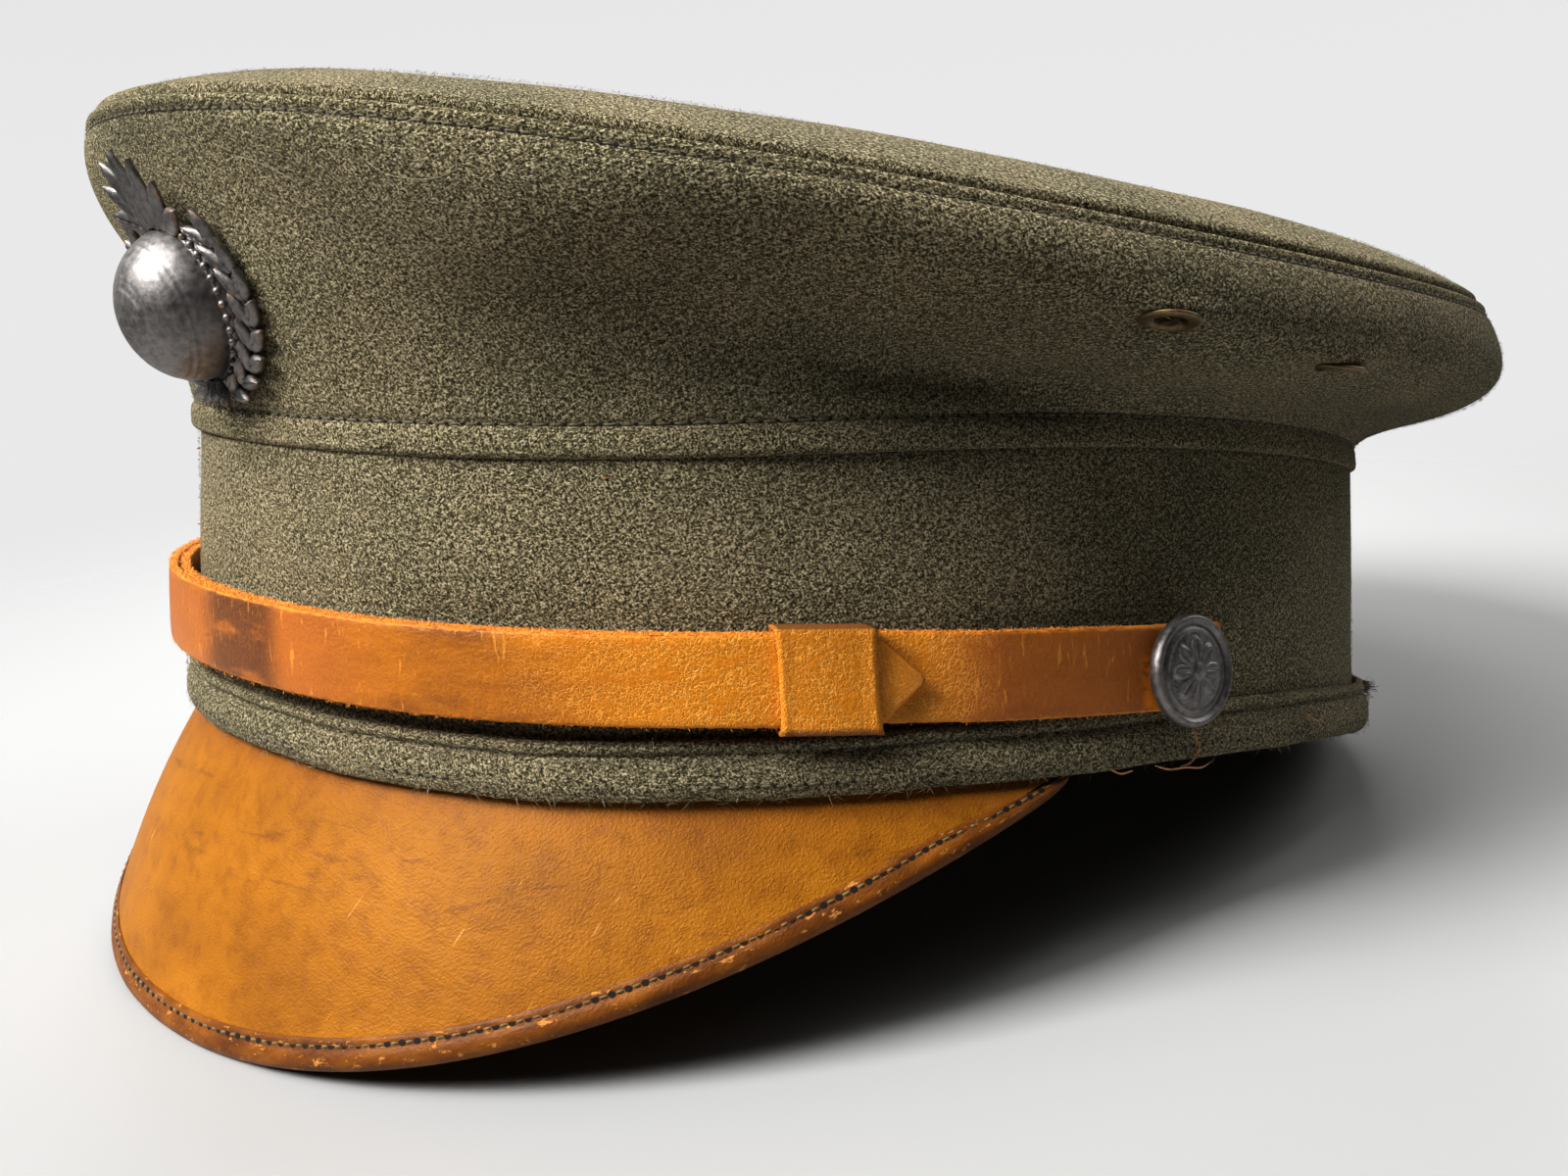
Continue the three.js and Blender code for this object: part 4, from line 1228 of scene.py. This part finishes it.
def keeper_grid(side):
    """A flat leather loop round both layers: outline of the loop, then across its width."""
    centre = KEEPER["angle"] * side
    inside = strap_stand_off(np.array([centre * DEGREE]))[0] - KEEPER["clearance"]
    depth = 2 * STRAP["thickness"] + FIT_GAP + 2 * KEEPER["clearance"]
    tall = STRAP["width"] / 2 + KEEPER["clearance"]
    outer = keeper_outline(tall, depth, KEEPER["wall"])
    inner = keeper_outline(tall, depth, 0)
    width = np.linspace(-0.5, 0.5, 17)
    # The outer face is slightly crowned, with raised edges.
    relief = 0.12 * np.cos(np.pi * width) + 0.16 * (np.abs(width) > 0.4)
    grids = []
    for loop, span, raised in ((outer, 1.0, relief), (inner, 0.98, 0)):
        lip = 1 + 0.03 * (np.abs(loop[:, :1]) / tall) ** 6
        angle = (centre + width * KEEPER["width"] * span * KEEPER["degrees_per_mm"] * lip) * DEGREE
        out = inside + loop[:, 1:] + raised * (loop[:, 1:] > depth / 2)
        grids.append(strap_point(angle, loop[:, :1], out))
    outer_grid, inner_grid = grids
    points = closed(np.concatenate([outer_grid, inner_grid[:, ::-1], outer_grid[:, :1]], 1))
    # Texture coordinates run round the loop and meet at its hidden back.
    ring = closed(outer)
    over = lengths_along(ring, 0)
    front = np.argmin(np.abs(ring[:, 0]) + 10 * (ring[:, 1] < depth / 2))
    over = (over - over[front] + over[-1] / 2) % over[-1] - over[-1] / 2 + STRAP["width"] / 2
    over[-1] = over[0]
    along = np.concatenate([width, width[::-1], width[:1]]) * KEEPER["width"] + STRAP["width"] / 2
    return points, paired(along, over[:, None])


for side, label in ((1, "left"), (-1, "right")):
    points, uv = keeper_grid(side)
    add_grid(
        f"keeper_{label}", points, KEEPER_LEATHER, "strap_leather", [f"strap_keeper_{label}"],
        uv=uv, closed_rows=True, closed_columns=True,
    )

# Bright fibres along the strap's cut edges.
RAW_FIBRES = fibre_material("raw_leather_fibres", [
    (0.0, (0.45, 0.16, 0.02)),
    (0.6, (0.8, 0.34, 0.05)),
    (1.0, (0.9, 0.5, 0.14)),
])
EDGE_FIBRE = {"length": 0.5, "lift": 0.32, "width": 0.07}
EDGE_PLACE = 5.7

# Columns: piece, first seed, count, range in degrees, layer, edge.
for name, seed, count, low, high, layer, edge in (
    ("strap_fuzz_outer_top", 61, 5200, -88, 60, 1, 1),
    ("strap_fuzz_outer_low", 63, 1500, -88, 60, 1, -1),
    ("strap_fuzz_inner_top", 65, 5200, -60, 82, 0, 1),
    ("strap_fuzz_inner_low", 67, 1200, -60, 82, 0, -1),
):
    rng = np.random.default_rng(seed)
    angle = rng.uniform(low, high, count) * DEGREE
    across = edge * EDGE_PLACE
    out = strap_stand_off(angle) + layer_step(angle, layer) + rng.uniform(0.1, 1.3, count)
    roots = strap_point(angle, across, out)
    normals = unit(strap_point(angle, across + edge, out) - roots)
    tangents = unit(strap_point(angle + 0.004, across, out) - roots)
    fibre_piece(name, (roots, normals, tangents), seed + 1, RAW_FIBRES, "strap_leather", **EDGE_FIBRE)


# Metal pieces

# The button's rim and field: radius, height.
BUTTON_RIM = [
    (0.0, 0.0), (6.7, 0.0), (7.3, 0.3), (7.65, 0.9), (7.7, 1.5), (7.5, 2.05), (7.15, 2.3),
    (6.8, 2.2), (6.55, 1.85),
]
BUTTON_FIELD = {"radius": 6.4, "height": 1.72, "rise": 0.75}
EYELET_PROFILE = [
    (2.1, -2.4), (2.55, -2.4), (2.6, -0.2), (3.4, 0.1), (4.0, 0.2), (4.15, 0.42), (3.9, 0.68),
    (3.3, 0.82), (2.6, 0.72), (2.2, 0.4), (2.1, 0.0), (2.1, -2.4),
]
# The eyelets sit tipped down in the cloth.
EYELET_TIP = 28 * DEGREE
# The ornament's dome: radius, height of its middle over the ornament's middle, and rise.
DOME = {"radius": 10.0, "up": -3.6, "rise": 9.4, "foot": 1.5, "stretch": 1.04}
# Radius as a share of the dome's, height.
DOME_FOOT = [(1.13, 0.5), (1.13, 1.25), (1.11, 1.45), (1.06, 1.5), (1.03, 1.4), (1.0, 1.5)]
DOME_GROOVES = (0.42, 0.52, 0.98, 1.06)
WREATH = {"wide": 13.2, "tall": 13.6, "up": -2.4, "leaves": 8, "from": 168, "step": 15.5}
# Columns: lean in degrees, height of the leaf's root, length and width.
BOUGH_LEAVES = [(24, 0.75, (5.4, 2.5)), (-20, 1.05, (5.0, 2.3))]
CREST = {"root": 5.6, "start": 1.6, "width": 3.5, "lift": 1.8, "curl": 0.014}
# Columns: heading in degrees, length, height of the leaf's root.
CREST_LEAVES = [
    (0, 10.6, 2.1), (20, 10.2, 1.9), (-20, 10.2, 1.9), (41, 9.4, 1.5), (-41, 9.4, 1.5),
    (63, 8.4, 1.1), (-63, 8.4, 1.1),
]
BEADS = {"count": 40, "radius": 10.9, "size": 0.62, "out": 1.55}
# Columns: sideways, heading in degrees, length.
TIE_LEAVES = [(0, 180, 3.4), (0.9, 208, 4.6), (-0.9, 152, 4.6)]
TIE = {"up": -14.6, "width": 2.2, "low": 1.4, "lift": 0.8}


def ridge(value, middle, width):
    """A smooth ridge of height 1."""
    return np.exp(-(((value - middle) / width) ** 2))


def button_grid(side):
    """A domed button: a rolled rim round a pebbled field that carries a plain eight-petalled rosette."""
    angle = BUTTON["angle"] * side * DEGREE
    seat = strap_stand_off(np.array([angle]))[0] + STRAP["thickness"] + 2 * FIT_GAP

    def place(a, up, out):
        return band_point(a, BUTTON["height"] + up, out)

    origin, along, upward, outward = frame_at(place, angle, seat)
    rim_radius, rim_height = np.array(BUTTON_RIM).T
    field = np.linspace(BUTTON_FIELD["radius"] - 0.05, 0, 44)
    bulge = BUTTON_FIELD["rise"] * (1 - (field / BUTTON_FIELD["radius"]) ** 2)
    r = np.concatenate([rim_radius, field])[:, None]
    height = np.concatenate([rim_height, BUTTON_FIELD["height"] + bulge])[:, None]
    inside = np.arange(len(r))[:, None] >= len(BUTTON_RIM)
    turn = np.linspace(0, TURN, 145)
    petal_edge = 1.7 + 3.0 * np.abs(np.cos(4 * turn))[None, :] ** 0.6
    rosette = smoothstep(petal_edge - r, -0.1, 0.35) * 0.34 * (0.55 + 0.45 * r / 4.7)
    from_vein = ((turn * 8 / TURN + 0.5) % 1 - 0.5) * r * 1.6
    vein = 0.14 * ridge(from_vein, 0, 0.22) * (r < 4.2) * (r > 1.6)
    boss = 0.42 * np.sqrt(np.clip(1 - (r / 1.45) ** 2, 0, 1))
    pebbles = 0.05 * np.sin(r * 9.5) * np.sin(turn * 34)[None, :] * (r > petal_edge) * (r < 5.3)
    relief = (np.maximum(rosette, boss) - vein + 0.2 * ridge(r, 5.55, 0.2) + pebbles) * inside
    circle = along * np.cos(turn)[:, None] + upward * np.sin(turn)[:, None]
    points = origin + circle[None] * r[..., None] + outward * (height + relief)[..., None]
    wear = np.clip(relief * 1.1, 0, 1) * 0.45 + 0.25 * ridge(r, 7.3, 0.25) + 0 * turn
    return points, wear


def dome_grid():
    """A plain dome on a stepped foot, with two pairs of engraved rings round it."""
    turn = np.linspace(0, TURN, 121)
    swing = np.linspace(0.04, math.pi / 2, 46)
    radius = 1 - sum(0.012 * ridge(swing, place, 0.02) for place in DOME_GROOVES)
    foot_ring, foot_out = np.array(DOME_FOOT).T
    ring = np.concatenate([foot_ring, radius * np.cos(swing)])[:, None]
    dome_out = DOME["foot"] + DOME["rise"] * radius * np.sin(swing)
    out = np.concatenate([foot_out, dome_out])[:, None] + 0 * turn
    sideways = DOME["radius"] * ring * np.sin(turn)
    upward = DOME["radius"] * ring * np.cos(turn) * DOME["stretch"]
    # The dome keeps its round shape, so it is built in the flat frame of its own middle.
    origin, along, raised, outward = badge_frame(DOME["up"])
    points = origin + np.stack([sideways, upward, out], -1) @ np.stack([along, raised, outward])
    return points, 0.3 * smoothstep(out, 7.5, 11.5) + 0.4 * ridge(out, 1.5, 0.12)


def badge_frame(height):
    """Flat frame on the crown's front at a height over the ornament's middle."""
    def place(x, y, out):
        return badge_point(x, height + y, out)
    along = unit(place(0.5, 0.0, 0.0) - place(-0.5, 0.0, 0.0))
    climb = place(0.0, 0.5, 0.0) - place(0.0, -0.5, 0.0)
    outward = unit(np.cross(along, climb))
    return place(0.0, 0.0, 0.0), along, unit(np.cross(outward, along)), outward


def leaf_grid(root, heading, size, low, lift, curl=0.0):
    """A bowed leaf with a sunk vein, on the ornament's surface. Sizes: length and width."""
    length, width = size
    t = np.linspace(0, 1, 19)[:, None]
    s = np.linspace(-1, 1, 13)[None, :]
    half = width / 2 * np.sin(np.pi * (0.06 + 0.94 * t) ** 0.75) ** 0.7
    bow = 0.62 * (1 - s**2) - 0.4 * ridge(s, 0, 0.14) + 0.07 * np.cos(np.abs(s) * 10 - t * 34)
    bow = bow * np.minimum(1, 5 * t * (1 - t) + 0.2)
    aside = half * s + curl * t**2 * length
    x = root[0] + heading[0] * t * length - heading[1] * aside
    y = root[1] + heading[1] * t * length + heading[0] * aside
    middle = low + lift * t**1.5
    upper = badge_point(x, y, middle + 0.5 + bow)
    lower = badge_point(x, y, middle - 0.25 * (1 - s**2))
    points = np.concatenate([upper, lower[:, ::-1], upper[:, :1]], 1)
    edge = 0.55 * np.abs(s) ** 8 + 0.4 * t**5 + 0.3 * np.maximum(bow, 0)
    wear = np.concatenate([edge, 0 * lower[..., 0], edge[:, :1]], 1)
    return points, wear


def turned_by(heading, degrees):
    """A flat direction turned against the clock."""
    c, s = math.cos(degrees * DEGREE), math.sin(degrees * DEGREE)
    return np.array([heading[0] * c - heading[1] * s, heading[0] * s + heading[1] * c])


def upward_turned(degrees):
    return turned_by(np.array([0.0, 1.0]), degrees)


def wreath():
    """Two boughs of leaves that curve up from a tie at the foot, round the dome."""
    wide, tall = WREATH["wide"], WREATH["tall"]
    parts = []
    for side in (1, -1):
        for index in range(WREATH["leaves"]):
            turn = (WREATH["from"] - index * WREATH["step"]) * DEGREE
            root = np.array([side * wide * math.sin(turn), tall * math.cos(turn) + WREATH["up"]])
            along = unit(np.array([side * -wide * math.cos(turn), tall * math.sin(turn)]))
            for lean, low, size in BOUGH_LEAVES:
                parts.append(leaf_grid(root, turned_by(along, -side * lean), size, low, 0.9, 0.02 * side))
    return parts


def crest():
    """A palmette over the dome: long leaves that fan out and lean away from the cloth."""
    parts = []
    for degrees, length, low in CREST_LEAVES:
        heading = upward_turned(degrees)
        root = np.array([0.0, CREST["root"]]) + heading * CREST["start"]
        curl = CREST["curl"] * degrees / 40
        parts.append(leaf_grid(root, heading, (length, CREST["width"]), low, CREST["lift"], curl))
    return parts


def beads():
    """Small beads in a circle round the dome."""
    origin, along, raised, outward = badge_frame(DOME["up"])
    rise, turn = np.meshgrid(np.linspace(-np.pi / 2, np.pi / 2, 7), np.linspace(0, TURN, 11), indexing="ij")
    ball = np.stack([np.cos(rise) * np.cos(turn), np.cos(rise) * np.sin(turn), np.sin(rise)], -1)
    ball = ball * BEADS["size"] @ np.stack([along, raised, outward])
    parts = []
    for index in range(BEADS["count"]):
        a = index * TURN / BEADS["count"]
        ring = along * math.cos(a) + raised * math.sin(a) * DOME["stretch"]
        centre = origin + ring * BEADS["radius"] + outward * BEADS["out"]
        parts.append((centre + ball, 0.35 + 0.3 * np.sin(rise)))
    return parts


def tie():
    """The knot at the wreath's foot and its two ribbon ends."""
    parts = []
    for x, degrees, length in TIE_LEAVES:
        size = (0.8 * length, TIE["width"])
        parts.append(leaf_grid((x, TIE["up"]), upward_turned(degrees), size, TIE["low"], TIE["lift"]))
    return parts


def joined_grids(name, parts):
    """One mesh from several grids that are closed along their columns."""
    vertices, faces, values = [], [], []
    start = 0
    for points, wear in parts:
        rows, columns = points.shape[0], points.shape[1] - 1
        vertices.append(points[:, :-1].reshape(-1, 3))
        faces.append(start + quad_faces(quad_corners(rows - 1, columns), rows, columns))
        values.append(wear[:, :-1].ravel())
        start += rows * columns
    world = to_world(np.concatenate(vertices))
    return make_mesh(name, world, np.concatenate(faces), attributes={"wear": np.concatenate(values)})


for side, label in ((1, "left"), (-1, "right")):
    points, wear = button_grid(side)
    add_grid(
        f"button_face_{label}", points, BRONZE, "dark_bronze", [f"button_{label}"],
        closed_columns=True, attributes={"wear": wear},
    )

for index, (origin, along, upward, outward) in enumerate(eyelet_frames):
    tipped = outward * math.cos(EYELET_TIP) - upward * math.sin(EYELET_TIP)
    raised = upward * math.cos(EYELET_TIP) + outward * math.sin(EYELET_TIP)
    points = turned_points(EYELET_PROFILE, 48, (origin - outward * 0.1, along, raised, tipped))
    wear = np.broadcast_to(np.array(EYELET_PROFILE)[:, 1:] * 0.7, points.shape[:2])
    add_grid(
        f"eyelet_{index + 1}", points, BRASS, "eyelet_brass", [f"vent_eyelet_{index + 1}"],
        closed_rows=True, closed_columns=True, attributes={"wear": wear},
    )

points, wear = dome_grid()
add_grid(
    "badge_dome", points, BRONZE, "dark_bronze", ["badge"], closed_columns=True, attributes={"wear": wear},
)
for name, parts in (("badge_wreath", wreath() + tie()), ("badge_crest", crest()), ("badge_beads", beads())):
    add_piece(name, joined_grids(name, parts), BRONZE, "dark_bronze", ["badge"])


# Stray threads and hairs

# Frayed threads under the welt. Columns: degrees round the cap, height, outward.
THREADS = [
    [(88.2, 4.4, 3.0), (88.6, 2.2, 3.2), (88.9, 0.4, 3.0), (88.4, -1.3, 2.4), (87.7, -1.9, 1.6)],
    [(84.9, -1.2, 2.2), (86.0, -1.8, 2.7), (87.4, -1.7, 3.2), (89.0, -2.0, 3.1), (90.2, -1.5, 2.5)],
    [(102.6, 4.0, 2.6), (103.6, 2.8, 3.4), (104.7, 2.5, 3.5), (105.9, 3.3, 2.9)],
    [(80.6, -0.9, 2.0), (81.4, -1.6, 2.5), (82.4, -1.3, 2.9)],
    [(-86, -1.0, 2.0), (-87.4, -1.7, 2.9), (-89.2, -1.4, 2.7), (-90.0, -2.1, 2.0)],
]
# Loose hairs on the crown. Columns: degrees round the cap, share of the crown's side, outward.
HAIRS = [
    [(62, 0.30, 0.3), (63.2, 0.36, 0.7), (65, 0.40, 0.5), (66.2, 0.37, 0.7), (66.8, 0.30, 0.3)],
    [(69, 0.52, 0.3), (70, 0.44, 0.6), (70.3, 0.36, 0.5), (71.6, 0.30, 0.3)],
    [(12, 0.66, 0.3), (15, 0.70, 0.8), (18, 0.68, 0.7), (20, 0.63, 0.3)],
    [(26, 0.78, 0.3), (28, 0.74, 0.7), (31, 0.75, 0.6), (33, 0.8, 0.3)],
    [(-40, 0.5, 0.3), (-43, 0.55, 0.8), (-47, 0.53, 0.6), (-49, 0.47, 0.3)],
    [(150, 0.6, 0.3), (153, 0.52, 0.8), (157, 0.5, 0.5), (159, 0.55, 0.3)],
]
THREAD_RADIUS = 0.14
HAIR_RADIUS = 0.035
# Thickness along a stray: share of its length, share of its radius.
STRAY_TAPER = np.array([(0, 0.5), (0.1, 1), (0.85, 0.9), (1, 0.25)])
PALE_HAIR = even_material("pale_hair", (0.34, 0.3, 0.21), 0.6)
LINT = {"seed": 71, "count": 26, "low": 20, "high": 40, "radius": 0.1}
# A tuft of wool that works loose at the rear of the welt.
TUFT = {"angle": 126, "height": 5.4, "out": 1.9, "count": 90, "seed": 81}
TUFT_FIBRE = {"length": 0.9, "lift": 2.2, "width": 0.09}


def curve_through(points, count):
    """A smooth path through a few points, as three columns, with so many steps between two of them."""
    points = np.asarray(points, float)
    padded = np.concatenate([2 * points[:1] - points[1:2], points, 2 * points[-1:] - points[-2:-1]])
    path = []
    for index in range(1, len(padded) - 2):
        is_last = index == len(padded) - 3
        t = np.linspace(0, 1, count, endpoint=is_last)[:, None]
        a, b, c, d = padded[index - 1: index + 3]
        curve = 2 * b + (c - a) * t + (2 * a - 5 * b + 4 * c - d) * t**2 + (3 * b - a - 3 * c + d) * t**3
        path.append(0.5 * curve)
    return np.concatenate(path)


for prefix, place, tables, thickness, material in (
    ("frayed_thread", band_point, THREADS, THREAD_RADIUS, TAN_THREAD),
    ("loose_hair", crown_point, HAIRS, HAIR_RADIUS, PALE_HAIR),
):
    for index, table in enumerate(tables):
        name = f"{prefix}_{index + 1}"
        path = curve_through([place(degrees * DEGREE, up, out) for degrees, up, out in table], 24)
        taper = np.interp(np.linspace(0, 1, len(path)), *STRAY_TAPER.T)
        add_piece(name, tube_mesh(name, path, thickness * taper, 6), material, "wool")


def lint_mesh(name):
    """Tiny curls of orange lint caught in the wool of the band."""
    rng = np.random.default_rng(LINT["seed"])
    vertices, faces = [], []
    for _ in range(LINT["count"]):
        angle = rng.uniform(-np.pi, np.pi)
        up = rng.uniform(LINT["low"], LINT["high"])
        bends = ((0, 0.0), (rng.normal(0, 0.004), 0.45), (rng.normal(0, 0.008), 0.2))
        path = curve_through([band_point(angle + bend, up, out) for bend, out in bends], 5)
        curl = tube_mesh("curl", path, LINT["radius"], 5)
        start = len(vertices)
        vertices += [tuple(vertex.co) for vertex in curl.vertices]
        faces += [[start + corner for corner in polygon.vertices] for polygon in curl.polygons]
        bpy.data.meshes.remove(curl)
    return make_mesh(name, np.array(vertices), faces)


add_piece("band_lint", lint_mesh("band_lint"), TAN_THREAD, "wool")

rng = np.random.default_rng(TUFT["seed"])
tuft_angles = TUFT["angle"] * DEGREE + rng.normal(0, 0.008, TUFT["count"])
tuft_heights = TUFT["height"] + rng.normal(0, 0.6, TUFT["count"])
roots, normals, tangents = sample_surface(band_point, tuft_angles, tuft_heights, TUFT["out"])
leaning = unit(normals + 0.5 * tangents)
fibre_piece("welt_tuft", (roots, leaning, tangents), TUFT["seed"] + 1, FUZZ, "wool", **TUFT_FIBRE)


# Floor, light and camera

# Tones of floor and backdrop, and the radii between which the floor fades, in metres.
FLOOR_TONE = (0.355, 0.355, 0.353, 1)
BACKDROP_LOW = (0.85, 0.85, 0.85)
BACKDROP_HIGH = (0.78, 0.785, 0.78)
FLOOR_FADE = (0.18, 0.44)
# Profiles of floor and backdrop: radius, height, in metres.
FLOOR_PROFILE = [(0.0002, 0), (0.3, 0), (0.8, 0), (1.5, 0)]
BACKDROP_PROFILE = [
    (0.0002, -0.004), (1.5, -0.004), (2.0, 0.03), (2.5, 0.16), (2.9, 0.45), (3.15, 0.95),
    (3.2, 1.6), (2.6, 3.0), (0.02, 4.0),
]
BACKDROP_RISE = 1.2
# Square soft lights that face the cap. Columns: name, azimuth, elevation, distance, size, power.
# Azimuth 0 is in front of the cap, and 90 at the wearer's left.
LIGHTS = [
    ("key", -13, 44, 2.4, 1.1, 128),
    ("top", 15, 74, 2.4, 1.6, 40),
    ("left", -78, 14, 2.4, 1.8, 6),
    ("back_left", 170, 30, 4.8, 2.8, 110),
    ("back_right", -130, 30, 4.8, 2.8, 125),
]
LIGHT_TARGET = Vector((0, 0, 0.06))
WORLD_STRENGTH = 0.03


def round_mesh(name, profile, sides=96):
    """A surface turned round the vertical axis from (radius, height), in metres."""
    turn = np.arange(sides) * TURN / sides
    radius, height = np.array(profile).T[:, :, None]
    points = np.stack([radius * np.cos(turn), radius * np.sin(turn), height + 0 * turn], -1)
    faces = quad_faces(quad_corners(len(profile) - 1, sides), len(profile), sides)
    return make_mesh(name, points.reshape(-1, 3), faces)


def floor_material():
    """Matt near the cap, and fading out over the backdrop further away."""
    look = Look("pale_floor", Base_Color=FLOOR_TONE, Roughness=0.6)
    length = look.node("ShaderNodeVectorMath", {0: look.object_place()}, operation="LENGTH")
    shown = look.stretch(look.value(length, "Value"), *FLOOR_FADE, 1.0, 0.0)
    look.feed(look.shader.inputs["Alpha"], shown)
    return look.material


def backdrop_material():
    """Even light that shows as a pale studio wall."""
    look = Look("pale_backdrop")
    height = look.split(look.object_place())[2]
    colour = look.mix(look.stretch(height, 0.0, BACKDROP_RISE), BACKDROP_LOW, BACKDROP_HIGH)
    glow = look.node("ShaderNodeEmission", {"Color": colour, "Strength": 1.0})
    look.feed(look.tree.nodes["Material Output"].inputs["Surface"], glow.outputs[0])
    return look.material


def add_stage(name, mesh, material):
    """A thing that is not part of the cap."""
    thing = bpy.data.objects.new(name, mesh)
    bpy.context.scene.collection.objects.link(thing)
    mesh.shade_smooth()
    mesh.materials.append(material)
    return thing


def direction(azimuth, elevation):
    """Unit vector from the cap towards a place round it."""
    a, e = azimuth * DEGREE, elevation * DEGREE
    return Vector((math.sin(a) * math.cos(e), -math.cos(a) * math.cos(e), math.sin(e)))


def add_light(name, azimuth, elevation, distance, size, power):
    """A square light that faces the cap."""
    data = bpy.data.lights.new(name, "AREA")
    data.shape = "SQUARE"
    data.size = size
    data.energy = power
    light = bpy.data.objects.new(name, data)
    back = direction(azimuth, elevation)
    light.location = back * distance + LIGHT_TARGET
    light.rotation_mode = "QUATERNION"
    light.rotation_quaternion = (-back).to_track_quat("-Z", "Y")
    bpy.context.scene.collection.objects.link(light)


def add_camera():
    """The camera at the photograph's place, and rolled as it was."""
    back = direction(CAMERA["azimuth"], CAMERA["elevation"])
    level = Vector((0, 0, 1)).cross(back).normalized()
    roll = CAMERA["roll"] * DEGREE
    right = level * math.cos(roll) + back.cross(level) * math.sin(roll)
    turn = Matrix((right, back.cross(right), back)).transposed()
    data = bpy.data.cameras.new("camera")
    data.sensor_width = CAMERA["film_width"]
    data.lens = CAMERA["lens"]
    data.clip_start = CAMERA["near"]
    data.clip_end = CAMERA["far"]
    camera = bpy.data.objects.new("camera", data)
    camera.matrix_world = Matrix.Translation(Vector(CAMERA["place"]) * MM) @ turn.to_4x4()
    bpy.context.scene.collection.objects.link(camera)
    bpy.context.scene.camera = camera


add_stage("floor", round_mesh("floor", FLOOR_PROFILE), floor_material())
backdrop = add_stage("backdrop", round_mesh("backdrop", BACKDROP_PROFILE), backdrop_material())
# The backdrop is seen but sends no light to the cap, whose soft lights stand inside it.
backdrop.visible_diffuse = False
backdrop.visible_glossy = False
backdrop.visible_shadow = False

for light in LIGHTS:
    add_light(*light)
world = bpy.data.worlds.new("studio")
bpy.context.scene.world = world
world.use_nodes = True
world.node_tree.nodes["Background"].inputs["Color"].default_value = (1, 1, 1, 1)
world.node_tree.nodes["Background"].inputs["Strength"].default_value = WORLD_STRENGTH

add_camera()
bpy.context.scene.view_settings.view_transform = "Standard"
bpy.context.scene.view_settings.gamma = VIEW_GAMMA
